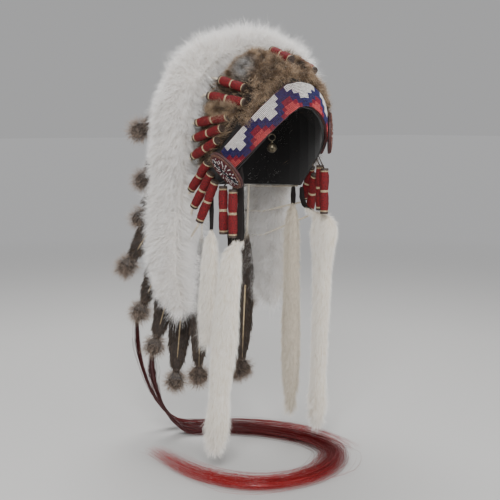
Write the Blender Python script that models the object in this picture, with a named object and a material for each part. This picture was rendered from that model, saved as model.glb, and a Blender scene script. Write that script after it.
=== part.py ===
# Feathered headdress: a felt cap that carries a beaded brow band, a fur crown, red wrapped quills, dark
# feathers, a white down ruff, fur tails and trailing horsehair.
# Metres, +Z up. The wearer looks along -Y, so the wearer's right side is at -X.
# The origin is the inside of the cap's crown, where it sits on the head.
import math
from collections import namedtuple

import bmesh
import bpy
from mathutils import Vector

# Head and cap
HEAD_HALF_WIDTH = 0.082
HEAD_HALF_LENGTH = 0.100
DOME_HEIGHT = 0.095
DOME_POWER = 2.2  # 2 is an ellipsoid, more is squarer
CAP_WALL = 0.0027
NAPE_DROP = 0.185
GAP = 0.0003
SEAT = 0.0006  # what lies on the cap clears it by this, because both are faceted
RIM_MARGIN = 0.0015  # cap edge that shows below the band
RIM_TURN = 17.0  # degrees behind the band's end in which the rim goes down to the nape's level

# Brow band
BAND_WIDTH = 0.034
BAND_THICK = 0.0034
BAND_FRONT_DROP = 0.050  # crown to the band's middle, at the forehead
BAND_END_ANGLE = 72.0
BAND_SIDE_DROP = {"R": 0.093, "L": 0.072}  # the band sits a little higher on the wearer's left
SIDE_SIGN = {"R": -1.0, "L": 1.0}

# Fur crown
FUR_PELT = 0.0022
PELT_SEAT = 0.0014  # pelt to cap, both faceted
FUR_PILE = 0.0105
FUR_TUFT = 0.0030
FUR_MARGIN = 0.0014  # pelt to the band
PATCH_MARGIN = 0.0056  # fur patches to the quills beside them
FUR_BACK_ANGLE = 87.0  # where the pelt ends at the ruff, about the ear axis, from level in front

# Wrapped quills
WRAP_RADIUS = 0.0068
WRAP_SIDES = 8
LEFT_WRAP_RISE = 0.004  # the left quills sit higher from the third on, as the band does
DROP_LENGTH = 0.068
THONG_RADIUS = 0.0012
DROP_RAISE = {"R": 0.0, "L": 0.025}

# Rosettes
ROSETTE_RADIUS = 0.031
ROSETTE_THICK = 0.0030
ROSETTE_DISH = 0.003  # how far the middle stands proud of the rim

# Bell
BELL_RADIUS = 0.0068
BELL_RING_RADIUS = 0.0046
BELL_WIRE = 0.0006
BELL_ANGLE = 43.0

# Ruff
RUFF_SPREAD = 0.100
RUFF_SET_BACK = 0.105
RUFF_LENGTH = 0.375
RUFF_HALF_WIDTH = 0.036  # front to back
RUFF_OUTER_THICK = 0.053  # pile on the outer side of the ruff's backing line
RUFF_INNER_THICK = 0.010
RUFF_CHANNEL = 0.0130  # space for the feathers between the cap and the ruff
RUFF_TUFT = 0.14  # depth of the locks, as a share of the section

# Feathers
VANE_HALF_WIDTH = 0.017
VANE_HALF_THICK = 0.0010
FLUFF_RADIUS = 0.013
FLUFF_LENGTH = 0.030
SHAFT_START = 0.006  # straight stretch of shaft that continues its quill
SHAFT_DEPTH = 0.0045  # ruff's inner face to the shaft
VANE_START = 0.012  # where the vane begins, past the ruff's rear edge

# Fur tails
TAIL_HALF_WIDTH = 0.020
TAIL_HALF_THICK = 0.011
NECK_HALF_WIDTH = 0.006
NECK_HALF_THICK = 0.0010
NECK_RUN = 0.008  # end of the neck to the furred part

# Horsehair
FLOOR_DROP = 0.590
HAIR_HALF_WIDTH = 0.013
HAIR_HALF_HEIGHT = 0.0055
HAIR_SEAT = 0.0036  # feather's end to the knot of hair under it

Row = namedtuple("Row", "at value")
BAND_CURVE = [
    Row(0, 0.0), Row(12, 0.03), Row(24, 0.16), Row(36, 0.35), Row(48, 0.57), Row(60, 0.79), Row(72, 1.0),
]

# A wrapped quill lies from its root, near the band, to its tip, at the ruff. Angles run round the head from
# the front, drops are from the crown.
Wrap = namedtuple("Wrap", "name root_angle root_drop tip_angle tip_drop tip_lift")
WRAPS = [
    Wrap("1", 56, 0.043, 82, 0.030, 0.016),
    Wrap("2", 54, 0.063, 88, 0.052, 0.018),
    Wrap("3", 68, 0.081, 98, 0.090, 0.020),
    Wrap("4", 74, 0.097, 101, 0.112, 0.021),
    Wrap("5", 79, 0.114, 104, 0.138, 0.021),
    Wrap("6", 91, 0.145, 107, 0.187, 0.022),
    Wrap("7", 87, 0.160, 102, 0.211, 0.022),
    Wrap("8", 82, 0.171, 95, 0.231, 0.020),
]
CrownWrap = namedtuple("CrownWrap", "name x front_y back_y")
CROWN_WRAPS = [CrownWrap("1", 0.003, -0.060, -0.018), CrownWrap("2", 0.039, -0.058, -0.016)]
Drop = namedtuple("Drop", "name angle top thong_angle")
DROPS = [Drop("1", 74, 0.178, 70), Drop("2", 65, 0.182, 66)]

LEFT_ROSETTE_ANGLE = 58.0
LEFT_ROSETTE_SEAT = 0.0042  # band to the middle of its back
LEFT_ROSETTE_LEAN = 0.25  # its rear edge stands out over the quills
RIGHT_ROSETTE_CENTRE = (-0.098, -0.055, -0.154)
RIGHT_ROSETTE_AXIS = (0.36, -0.71, -0.61)
RIGHT_ROSETTE_FACE = (-0.68, -0.02, -0.70)

# Turned profile of a wrapped quill: two cloth rolls with a tie between them
WRAP_PROFILE = [Row(0, 0.88), Row(0.46, 1.0), Row(0.50, 0.78), Row(0.54, 1.0), Row(1, 0.88)]

# The ruff's backing line on one side, from the crown to its lower end. Channel is its share of the space for
# the feathers, more where it hangs free below the cap.
RailPoint = namedtuple("RailPoint", "spread back drop channel width outer")
RUFF_RAIL = [
    RailPoint(0.00, 0.27, 0.000, 0.00, 0.95, 0.64),
    RailPoint(0.34, 0.28, 0.022, 0.30, 0.95, 0.68),
    RailPoint(0.60, 0.30, 0.070, 1.00, 0.98, 0.74),
    RailPoint(0.80, 0.42, 0.155, 1.00, 1.00, 0.84),
    RailPoint(0.93, 0.60, 0.255, 1.00, 1.00, 0.94),
    RailPoint(0.95, 0.76, 0.360, 1.00, 1.00, 1.00),
    RailPoint(0.92, 0.90, 0.470, 1.00, 1.00, 1.00),
    RailPoint(0.89, 0.99, 0.590, 1.40, 1.00, 1.00),
    RailPoint(0.86, 0.99, 0.710, 1.80, 0.98, 0.95),
    RailPoint(0.84, 0.95, 0.820, 1.80, 0.96, 0.88),
    RailPoint(0.82, 0.86, 0.920, 1.60, 0.85, 0.76),
    RailPoint(0.80, 0.74, 1.000, 1.30, 0.45, 0.36),
]

# A feather leaves its quill's tip, passes under the ruff at a share of its line, comes out behind it, and
# ends in a fluff. Its tip is placed by its reach along the fan's spread, and by how far aft of the fan's
# foremost vane it lies.
FAN_SPREAD = 36.0  # the way the fan spreads, in degrees aft of sideways
# Depth of the fan, by drop
FAN_AFT = [Row(0.02, 0.036), Row(0.15, 0.070), Row(0.24, 0.084), Row(0.50, 0.088)]
Feather = namedtuple("Feather", "name rail_share aft reach drop")
FEATHERS = [
    Feather("1", 0.19, 0.016, 0.160, 0.092),
    Feather("2", 0.27, 0.000, 0.196, 0.108),
    Feather("3", 0.34, 0.000, 0.190, 0.188),
    Feather("4", 0.41, 0.011, 0.197, 0.250),
    Feather("5", 0.49, 0.000, 0.218, 0.326),
    Feather("6", 0.57, 0.000, 0.196, 0.400),
    Feather("7", 0.65, 0.004, 0.173, 0.458),
    Feather("8", 0.73, 0.000, 0.137, 0.514),
]
# The last feather of each side hangs from the cap's rim at the nape
NAPE_FEATHER = Feather("9", 0.0, -0.024, 0.098, 0.500)
NAPE_FEATHER_ANGLE = 150.0

# Half widths and thicknesses along the vane, as shares of its own, and radii along the fluff
SectionRow = namedtuple("SectionRow", "at width thick")
VANE_ROWS = [
    SectionRow(0.00, 0.12, 1.5),
    SectionRow(0.14, 0.60, 1.2),
    SectionRow(0.34, 1.00, 1.1),
    SectionRow(0.72, 1.00, 1.0),
    SectionRow(0.92, 0.66, 1.0),
    SectionRow(1.00, 0.30, 1.0),
]
SHAFT_ROW = SectionRow(0.0, 0.10, 1.5)
FLUFF_ROWS = [Row(0.10, 0.45), Row(0.40, 1.0), Row(0.75, 0.95), Row(1.0, 0.30)]

# Sections of a fur tail along its length: half width and thickness as shares of the tail's own
TailRow = namedtuple("TailRow", "at width thick")
TAIL_SHAPES = {
    "long_R": [
        TailRow(0, 0.55, 0.7), TailRow(0.05, 0.95, 1.0), TailRow(0.20, 0.95, 0.95),
        TailRow(0.33, 1.15, 1.0), TailRow(0.45, 1.22, 1.0), TailRow(0.60, 1.00, 1.0),
        TailRow(0.72, 0.82, 0.9), TailRow(0.85, 1.12, 1.0), TailRow(0.93, 1.05, 0.9),
        TailRow(1, 0.30, 0.4),
    ],
    "short_R": [
        TailRow(0, 0.50, 0.7), TailRow(0.12, 0.80, 0.9), TailRow(0.40, 1.00, 1.1),
        TailRow(0.65, 1.10, 1.1), TailRow(0.85, 0.85, 0.9), TailRow(1, 0.25, 0.4),
    ],
    "long_L": [
        TailRow(0, 1.05, 0.9), TailRow(0.05, 1.50, 1.3), TailRow(0.12, 1.50, 1.3),
        TailRow(0.19, 0.98, 1.0), TailRow(0.40, 0.92, 0.95), TailRow(0.60, 0.86, 0.95),
        TailRow(0.80, 0.86, 0.95), TailRow(0.88, 0.98, 1.0), TailRow(0.94, 0.80, 0.8),
        TailRow(1, 0.25, 0.4),
    ],
    "inner_L": [
        TailRow(0, 0.50, 0.7), TailRow(0.08, 0.80, 0.9), TailRow(0.35, 0.82, 0.9),
        TailRow(0.60, 1.00, 1.0), TailRow(0.78, 0.92, 0.9), TailRow(0.90, 0.60, 0.7),
        TailRow(1, 0.22, 0.4),
    ],
}
Tail = namedtuple("Tail", "name side shape neck_angle top_x top_y top_drop end_x end_y end_drop")
TAILS = [
    Tail("tail_R_long", "R", "long_R", 60, 0.088, -0.052, 0.262, 0.102, -0.026, 0.562),
    Tail("tail_R_short", "R", "short_R", 94, 0.089, 0.001, 0.252, 0.096, 0.001, 0.410),
    Tail("tail_L_long", "L", "long_L", 94, 0.098, -0.030, 0.228, 0.095, -0.018, 0.562),
    Tail("tail_L_inner", "L", "inner_L", 104, 0.078, 0.024, 0.222, 0.078, 0.026, 0.547),
]

# Horsehair routes: points in plan and height above the floor, chosen by hand
HairPoint = namedtuple("HairPoint", "x y above size")
HAIR_MAIN = [
    HairPoint(-0.090, 0.168, 0.095, 0.45), HairPoint(-0.076, 0.156, 0.045, 0.60),
    HairPoint(-0.046, 0.148, 0.010, 0.80), HairPoint(-0.006, 0.130, 0.006, 0.95),
    HairPoint(0.036, 0.100, 0.006, 1.00), HairPoint(0.073, 0.045, 0.006, 1.00),
    HairPoint(0.091, -0.012, 0.006, 1.00), HairPoint(0.086, -0.066, 0.006, 1.00),
    HairPoint(0.054, -0.104, 0.006, 1.00), HairPoint(0.008, -0.130, 0.006, 1.00),
    HairPoint(-0.045, -0.136, 0.006, 1.00), HairPoint(-0.094, -0.116, 0.006, 1.00),
    HairPoint(-0.124, -0.072, 0.006, 0.95), HairPoint(-0.137, -0.014, 0.006, 0.85),
    HairPoint(-0.136, 0.040, 0.006, 0.70), HairPoint(-0.132, 0.084, 0.005, 0.45),
    HairPoint(-0.140, 0.112, 0.004, 0.15),
]
HAIR_WISP = [
    HairPoint(-0.098, 0.196, 0.130, 0.30), HairPoint(-0.076, 0.196, 0.065, 0.38),
    HairPoint(-0.038, 0.188, 0.014, 0.45), HairPoint(0.000, 0.172, 0.005, 0.55),
    HairPoint(0.044, 0.146, 0.005, 0.60), HairPoint(0.086, 0.104, 0.005, 0.60),
    HairPoint(0.114, 0.052, 0.005, 0.60), HairPoint(0.124, 0.000, 0.005, 0.55),
    HairPoint(0.120, -0.052, 0.005, 0.45), HairPoint(0.104, -0.092, 0.004, 0.15),
]

COLOURS = {
    "felt": (0.012, 0.010, 0.010, 0.95),
    "beads": (0.55, 0.50, 0.48, 0.35),
    "brown_fur": (0.30, 0.19, 0.10, 0.95),
    "red_cloth": (0.42, 0.012, 0.015, 0.85),
    "brass": (0.55, 0.40, 0.18, 0.30),
    "white_down": (0.88, 0.83, 0.80, 0.95),
    "dark_feather": (0.06, 0.045, 0.035, 0.60),
    "white_fur": (0.85, 0.78, 0.70, 0.95),
    "red_hair": (0.25, 0.01, 0.01, 0.50),
}


def material(name):
    """One Principled material for each finish in COLOURS."""
    if name in bpy.data.materials:
        return bpy.data.materials[name]
    mat = bpy.data.materials.new(name)
    mat.use_nodes = True
    shader = mat.node_tree.nodes["Principled BSDF"]
    red, green, blue, rough = COLOURS[name]
    shader.inputs["Base Color"].default_value = (red, green, blue, 1.0)
    shader.inputs["Roughness"].default_value = rough
    shader.inputs["Metallic"].default_value = 1.0 if name == "brass" else 0.0
    return mat


def add_object(name, bm, finish):
    """Turn a bmesh into a named object with its material, faces pointing out."""
    bmesh.ops.recalc_face_normals(bm, faces=bm.faces)
    mesh = bpy.data.meshes.new(name)
    bm.to_mesh(mesh)
    bm.free()
    mesh.shade_smooth()
    mesh.materials.append(material(finish))
    obj = bpy.data.objects.new(name, mesh)
    bpy.context.collection.objects.link(obj)
    return obj


def loft(name, rings, finish):
    """A closed solid through rings with equal numbers of points, with flat ends."""
    bm = bmesh.new()
    loops = [[bm.verts.new(point) for point in ring] for ring in rings]
    count = len(rings[0])
    for near, far in zip(loops, loops[1:]):
        for i in range(count):
            j = (i + 1) % count
            bm.faces.new((near[i], near[j], far[j], far[i]))
    bm.faces.new(loops[0])
    bm.faces.new(loops[-1])
    return add_object(name, bm, finish)


def shell(name, outer, inner, finish):
    """A wall between two equal grids of points, closed round its four edges."""
    bm = bmesh.new()
    rows, columns = len(outer), len(outer[0])
    skins = [[[bm.verts.new(point) for point in row] for row in grid] for grid in (outer, inner)]
    for skin in skins:
        for r in range(rows - 1):
            for c in range(columns - 1):
                bm.faces.new((skin[r][c], skin[r][c + 1], skin[r + 1][c + 1], skin[r + 1][c]))
    border = [(0, c) for c in range(columns)] + [(r, columns - 1) for r in range(1, rows)]
    border += [(rows - 1, c) for c in range(columns - 2, -1, -1)] + [(r, 0) for r in range(rows - 2, 0, -1)]
    for (r0, c0), (r1, c1) in zip(border, border[1:] + border[:1]):
        bm.faces.new((skins[0][r0][c0], skins[0][r1][c1], skins[1][r1][c1], skins[1][r0][c0]))
    return add_object(name, bm, finish)


def table(rows, at):
    """Straight-line reading of a table of Row(at, value)."""
    if at <= rows[0].at:
        return rows[0].value
    for low, high in zip(rows, rows[1:]):
        if at <= high.at:
            return low.value + (high.value - low.value) * (at - low.at) / (high.at - low.at)
    return rows[-1].value


def smooth_curve(points, share):
    """Catmull-Rom reading of a list of equal-length tuples, share 0 to 1."""
    place = min(max(share, 0.0), 1.0) * (len(points) - 1)
    i = min(int(place), len(points) - 2)
    t = place - i
    before, start, end, after = (points[min(max(k, 0), len(points) - 1)] for k in range(i - 1, i + 3))
    return tuple(
        0.5 * (2 * b + (c - a) * t + (2 * a - 5 * b + 4 * c - d) * t * t + (3 * b - a - 3 * c + d) * t ** 3)
        for a, b, c, d in zip(before, start, end, after)
    )


def around(angle, drop, lift, side="R"):
    """A point on the head's surface, lifted off it: angle in degrees from the front, drop below the crown."""
    rise = max(DOME_HEIGHT - drop, 0.0) / (DOME_HEIGHT + lift)
    shrink = max(1.0 - rise ** DOME_POWER, 0.0) ** (1.0 / DOME_POWER)
    turn = math.radians(angle)
    x = SIDE_SIGN[side] * (HEAD_HALF_WIDTH + lift) * shrink * math.sin(turn)
    y = -(HEAD_HALF_LENGTH + lift) * shrink * math.cos(turn)
    return Vector((x, y, -drop))


def arch_point(rise, across, lift):
    """A point on the head's surface, lifted off it: rise about the ear axis from level in front, across from
    the middle towards the wearer's left, both in degrees."""
    a, b = math.radians(rise), math.radians(across)
    x, y, z = math.sin(b), -math.cos(b) * math.cos(a), math.cos(b) * math.sin(a)
    flat = math.hypot(x / (HEAD_HALF_WIDTH + lift), y / (HEAD_HALF_LENGTH + lift))
    tall = max(z, 0.0) / (DOME_HEIGHT + lift)
    reach = (flat ** DOME_POWER + tall ** DOME_POWER) ** (-1.0 / DOME_POWER)
    return Vector((x * reach, y * reach, z * reach - DOME_HEIGHT))


def lift_of(point):
    """How far a point stands off the head's surface."""
    low, high = -0.05, 0.20
    for _ in range(40):
        lift = (low + high) / 2
        flat = math.hypot(point.x / (HEAD_HALF_WIDTH + lift), point.y / (HEAD_HALF_LENGTH + lift))
        tall = max(point.z + DOME_HEIGHT, 0.0) / (DOME_HEIGHT + lift)
        if flat ** DOME_POWER + tall ** DOME_POWER > 1.0:
            low = lift
        else:
            high = lift
    return low


def out_direction(point):
    """The way off the head's surface at a point."""
    height = max(point.z + DOME_HEIGHT, 0.0)
    flat = max(math.hypot(point.x / HEAD_HALF_WIDTH, point.y / HEAD_HALF_LENGTH), 1e-6)
    x = flat ** (DOME_POWER - 2) * point.x / HEAD_HALF_WIDTH ** 2
    y = flat ** (DOME_POWER - 2) * point.y / HEAD_HALF_LENGTH ** 2
    z = (height / DOME_HEIGHT) ** (DOME_POWER - 1) / DOME_HEIGHT
    return Vector((x, y, z)).normalized()


def band_middle(angle, side):
    """Drop of the band's middle line at an angle from the front."""
    return BAND_FRONT_DROP + BAND_SIDE_DROP[side] * table(BAND_CURVE, angle)


def band_slope(angle, side):
    """Fall of the band's middle line for each metre round the head."""
    step = 6.0
    low, high = max(angle - step, 0.0), min(angle + step, BAND_END_ANGLE)
    run = around(high, band_middle(high, side), 0, side) - around(low, band_middle(low, side), 0, side)
    return -run.z / max(math.hypot(run.x, run.y), 1e-6)


def band_edge(angle, side, edge):
    """Drop of the band's edges at an angle: edge -1 is the upper, +1 the lower."""
    return band_middle(angle, side) + edge * BAND_WIDTH / 2 * math.hypot(1, band_slope(angle, side))


def band_point(angle, side, across, lift):
    """A point of the band; across is square to its middle line, positive towards the lower edge."""
    slope = band_slope(angle, side)
    length = math.hypot(1, slope)
    per_degree = (around(angle + 1, band_middle(angle, side), 0, side)
                  - around(angle, band_middle(angle, side), 0, side)).length
    shifted = angle - across * slope / length / per_degree
    return around(shifted, band_middle(angle, side) + across / length, lift, side)


def cap_rim(angle, side):
    """Drop of the cap's rim at an angle: along the band, then down to the nape."""
    if angle <= BAND_END_ANGLE:
        return band_edge(angle, side, 1) + RIM_MARGIN
    start = band_edge(BAND_END_ANGLE, side, 1) + RIM_MARGIN
    share = min(max((angle - BAND_END_ANGLE - 4) / RIM_TURN, 0.0), 1.0)
    return start + (NAPE_DROP - start) * share * share * (3 - 2 * share)


def make_skull_cap():
    """The felt cap: a domed wall from the crown to the rim."""
    columns, rows = 30, 9
    bm = bmesh.new()
    skins = []
    for lift in (CAP_WALL, 0.0):
        crown = bm.verts.new((0, 0, lift))
        rings = []
        for r in range(1, rows + 1):
            ring = []
            for c in range(columns):
                turn = 360.0 * c / columns
                side = "R" if turn <= 180 else "L"
                angle = turn if turn <= 180 else 360 - turn
                rim = cap_rim(angle, side)
                # Even steps over the curve of the dome, then down the straight wall
                level = max((DOME_HEIGHT - rim) / DOME_HEIGHT, 0.0)
                reach = math.acos(level ** (DOME_POWER / 2)) / (math.pi / 2)
                reach += max(rim - DOME_HEIGHT, 0.0) / DOME_HEIGHT
                step = reach * r / rows
                bend = math.cos(min(step, 1.0) * math.pi / 2) ** (2 / DOME_POWER)
                drop = DOME_HEIGHT * (1 - bend) + max(step - 1, 0) * DOME_HEIGHT
                point = around(angle, drop, 0.0, side)
                if lift:
                    point += out_direction(point) * lift
                ring.append(bm.verts.new(point))
            rings.append(ring)
        skins.append((crown, rings))
    for crown, rings in skins:
        for c in range(columns):
            d = (c + 1) % columns
            bm.faces.new((crown, rings[0][c], rings[0][d]))
            for near, far in zip(rings, rings[1:]):
                bm.faces.new((near[c], far[c], far[d], near[d]))
    outer, inner = skins[0][1][-1], skins[1][1][-1]
    for c in range(columns):
        d = (c + 1) % columns
        bm.faces.new((outer[c], outer[d], inner[d], inner[c]))
    return add_object("skull_cap", bm, "felt")


def make_brow_band():
    """The band: a ribbon round the forehead with three points across each skin."""
    steps = 12
    grids = []
    for lift in (CAP_WALL + SEAT * 1.5 + BAND_THICK, CAP_WALL + SEAT * 1.5):
        grid = []
        for i in range(-steps, steps + 1):
            side = "R" if i >= 0 else "L"
            angle = abs(i) * BAND_END_ANGLE / steps
            grid.append([band_point(angle, side, edge * BAND_WIDTH / 2, lift) for edge in (-1, 0, 1)])
        grids.append(grid)
    return shell("brow_band", grids[0], grids[1], "beads")


def frame_along(direction, hint):
    """Two directions square to a direction, the first as near hint as it can be."""
    along = direction.normalized()
    first = (hint - along * hint.dot(along)).normalized()
    return first, along.cross(first)


def wrap_rings(start, end, radius):
    """Turned rings of one wrapped quill."""
    axis = end - start
    u, v = frame_along(axis, Vector((0.3, 0.2, 1.0)))
    rings = []
    for row in WRAP_PROFILE:
        centre = start + axis * row.at
        ring = []
        for i in range(WRAP_SIDES):
            turn = 2 * math.pi * (i + 0.5) / WRAP_SIDES
            ring.append(centre + (u * math.cos(turn) + v * math.sin(turn)) * radius * row.value)
        rings.append(ring)
    return rings


def seat_on_cap(start, end, radius):
    """Move a quill's ends off the head until its nearest stretch clears the cap by the gap."""
    wanted = CAP_WALL + SEAT + radius
    for _ in range(12):
        points = [start.lerp(end, share / 8) for share in range(9)]
        nearest = min(points, key=lift_of)
        short = wanted - lift_of(nearest)
        if abs(short) < 0.00005:
            break
        start = start + out_direction(nearest) * short
        end = end + out_direction(nearest) * short
    return start, end


def wrap_ends(wrap, side):
    """Root and tip of a wrapped quill on one side. The left side sits higher near its band."""
    rise = LEFT_WRAP_RISE if side == "L" and WRAPS.index(wrap) > 1 else 0.0
    root = around(wrap.root_angle, wrap.root_drop - rise, CAP_WALL + WRAP_RADIUS, side)
    tip = around(wrap.tip_angle, wrap.tip_drop - rise, wrap.tip_lift, side)
    return seat_on_cap(root, tip, WRAP_RADIUS)


def drop_ends(drop, side):
    """Top and bottom of a hanging drop, seated on the cap's wall."""
    top = around(drop.angle, drop.top - DROP_RAISE[side], CAP_WALL + SEAT + WRAP_RADIUS, side)
    return top, top - Vector((0, 0, DROP_LENGTH))


def thong_rings(angle, side, top):
    """The thin thong that a drop hangs on, from under the cap's rim."""
    start = around(angle, cap_rim(angle, side) + THONG_RADIUS + GAP, CAP_WALL / 2, side)
    end = top + Vector((0, 0, THONG_RADIUS * 2)) - out_direction(top) * WRAP_RADIUS * 0.78
    u, v = frame_along(Vector((0, 0, -1)), Vector((0.3, 0.2, 1.0)))
    rings = []
    for centre in (start, end):
        ring = []
        for i in range(WRAP_SIDES):
            turn = 2 * math.pi * (i + 0.5) / WRAP_SIDES
            ring.append(centre + (u * math.cos(turn) + v * math.sin(turn)) * THONG_RADIUS)
        rings.append(ring)
    return rings


def make_wraps():
    """All the wrapped quills and the hanging drops."""
    for side in "RL":
        for wrap in WRAPS:
            start, end = wrap_ends(wrap, side)
            loft("wrap_" + side + wrap.name, wrap_rings(start, end, WRAP_RADIUS), "red_cloth")
        for drop in DROPS:
            top, bottom = drop_ends(drop, side)
            rings = thong_rings(drop.thong_angle, side, top) + wrap_rings(top, bottom, WRAP_RADIUS)
            loft("drop_" + side + drop.name, rings, "red_cloth")
    for crown in CROWN_WRAPS:
        ends = [crown_seat(crown.x, y) for y in (crown.front_y, crown.back_y)]
        start, end = seat_on_pelt(*ends)
        loft("wrap_crown_" + crown.name, wrap_rings(start, end, WRAP_RADIUS), "red_cloth")


def crown_seat(x, y):
    """A point on the crown above a place in plan."""
    flat = math.hypot(x / HEAD_HALF_WIDTH, y / HEAD_HALF_LENGTH)
    z = DOME_HEIGHT * (1 - flat ** DOME_POWER) ** (1 / DOME_POWER) - DOME_HEIGHT
    point = Vector((x, y, z))
    return point + out_direction(point) * (CAP_WALL + WRAP_RADIUS)


def seat_on_pelt(start, end):
    """Seat a crown quill on the cap, then raise it by the pelt's bare skin."""
    start, end = seat_on_cap(start, end, WRAP_RADIUS)
    lift = out_direction(start.lerp(end, 0.5)) * (FUR_PELT + GAP * 2)
    return start + lift, end + lift


def rise_at_band(across):
    """Where the pelt starts above the band, as an angle about the ear axis."""
    side = "L" if across > 0 else "R"
    low, high = -60.0, 80.0
    for _ in range(30):
        rise = (low + high) / 2
        point = arch_point(rise, across, 0)
        angle = math.degrees(math.atan2(abs(point.x) / HEAD_HALF_WIDTH, -point.y / HEAD_HALF_LENGTH))
        if -point.z > band_edge(min(angle, BAND_END_ANGLE), side, -1) - FUR_MARGIN:
            low = rise
        else:
            high = rise
    return high


# Half spread of the pelt, in degrees towards the ears, from the band (0) to the ruff (1)
PELT_SPREAD = [Row(0, 54), Row(0.08, 43), Row(0.2, 36), Row(0.35, 31), Row(0.6, 35), Row(1, 44)]


def pelt_lift(point, row, column, rows, columns):
    """Height of the fur above the cap: tufted, worn thin at the edges and under the crown quills."""
    tuft = FUR_TUFT * (((row * 7 + column * 5) % 3) - 1)
    edge = min(row, rows - row, column, columns - column)
    fade = min(edge / 1.5, 1.0)
    lift = FUR_PELT + (FUR_PILE + tuft) * fade
    for crown in CROWN_WRAPS:
        beside = abs(point.x - crown.x) - WRAP_RADIUS * 1.35
        ahead = crown.front_y - 0.006 - point.y
        if beside < 0 and ahead < 0:
            lift = FUR_PELT
    return lift


def make_fur_cover():
    """The brown pelt over the crown."""
    rows, columns = 9, 24
    outer, inner = [], []
    for r in range(rows + 1):
        share = r / rows
        outer_row, inner_row = [], []
        for c in range(columns + 1):
            across = (2 * c / columns - 1) * table(PELT_SPREAD, share)
            start = rise_at_band(across)
            rise = start + (FUR_BACK_ANGLE - start) * share
            under = arch_point(rise, across, CAP_WALL + PELT_SEAT)
            over = arch_point(rise, across, 0)
            over = over + out_direction(over) * (CAP_WALL + PELT_SEAT + pelt_lift(over, r, c, rows, columns))
            inner_row.append(under)
            outer_row.append(over)
        outer.append(outer_row)
        inner.append(inner_row)
    return shell("fur_cover", outer, inner, "brown_fur")


def make_fur_patches():
    """A tongue of pelt between the second and third wrapped quill of each side."""
    for side in "RL":
        upper, lower = (wrap_ends(WRAPS[i], side) for i in (1, 2))
        rows, columns = 2, 7
        outer, inner = [], []
        for r in range(rows + 1):
            outer_row, inner_row = [], []
            for c in range(columns + 1):
                along = 0.86 * c / columns
                top, bottom = (ends[0].lerp(ends[1], along) for ends in (upper, lower))
                spread = (top - bottom).length
                inset = (WRAP_RADIUS + PATCH_MARGIN) / spread
                point = bottom.lerp(top, inset + (1 - 2 * inset) * r / rows)
                base = point - out_direction(point) * (lift_of(point) - CAP_WALL - SEAT)
                pile = FUR_PILE * (0.8 if r == 1 and 0 < c < columns else 0.1) + FUR_TUFT * (c % 2) * (r == 1)
                inner_row.append(base)
                outer_row.append(base + out_direction(base) * (FUR_PELT + pile))
            outer.append(outer_row)
            inner.append(inner_row)
        shell("fur_patch_" + side, outer, inner, "brown_fur")


def rosette_frame(side):
    """Centre of the back, long axis, cross axis and face of a rosette. The left one lies flat on the band's
    end; the right one has swung out and leans over the drops, its face down and out."""
    if side == "L":
        lift = CAP_WALL + SEAT * 1.5 + BAND_THICK + LEFT_ROSETTE_SEAT
        centre = band_point(LEFT_ROSETTE_ANGLE, side, 0, lift)
        face = (out_direction(centre) + Vector((0, -LEFT_ROSETTE_LEAN, 0))).normalized()
        long_axis, cross_axis = frame_along(face, Vector((0, 0, -1)))
        return centre, long_axis, cross_axis, face
    long_axis = Vector(RIGHT_ROSETTE_AXIS).normalized()
    face, cross_axis = frame_along(long_axis, Vector(RIGHT_ROSETTE_FACE))
    return Vector(RIGHT_ROSETTE_CENTRE), long_axis, cross_axis, face


def make_rosettes():
    """The beaded discs, slightly dished."""
    turns, rings = 18, 3
    for side in "RL":
        centre, long_axis, cross_axis, face = rosette_frame(side)
        bm = bmesh.new()
        skins = []
        for thick in (ROSETTE_THICK, 0.0):
            rows = []
            for r in range(rings + 1):
                ring = []
                for i in range(turns if r else 1):
                    turn = 2 * math.pi * i / turns
                    reach = ROSETTE_RADIUS * r / rings
                    rise = thick + (ROSETTE_DISH * (1 - (r / rings) ** 2) if thick else 0.0)
                    point = centre + (long_axis * math.cos(turn) + cross_axis * math.sin(turn)) * reach
                    ring.append(bm.verts.new(point + face * rise))
                rows.append(ring)
            skins.append(rows)
        for rows in skins:
            for i in range(turns):
                j = (i + 1) % turns
                bm.faces.new((rows[0][0], rows[1][i], rows[1][j]))
                for near, far in zip(rows[1:], rows[2:]):
                    bm.faces.new((near[i], far[i], far[j], near[j]))
        for i in range(turns):
            j = (i + 1) % turns
            bm.faces.new((skins[0][-1][i], skins[0][-1][j], skins[1][-1][j], skins[1][-1][i]))
        add_object("rosette_" + side, bm, "beads")


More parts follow.
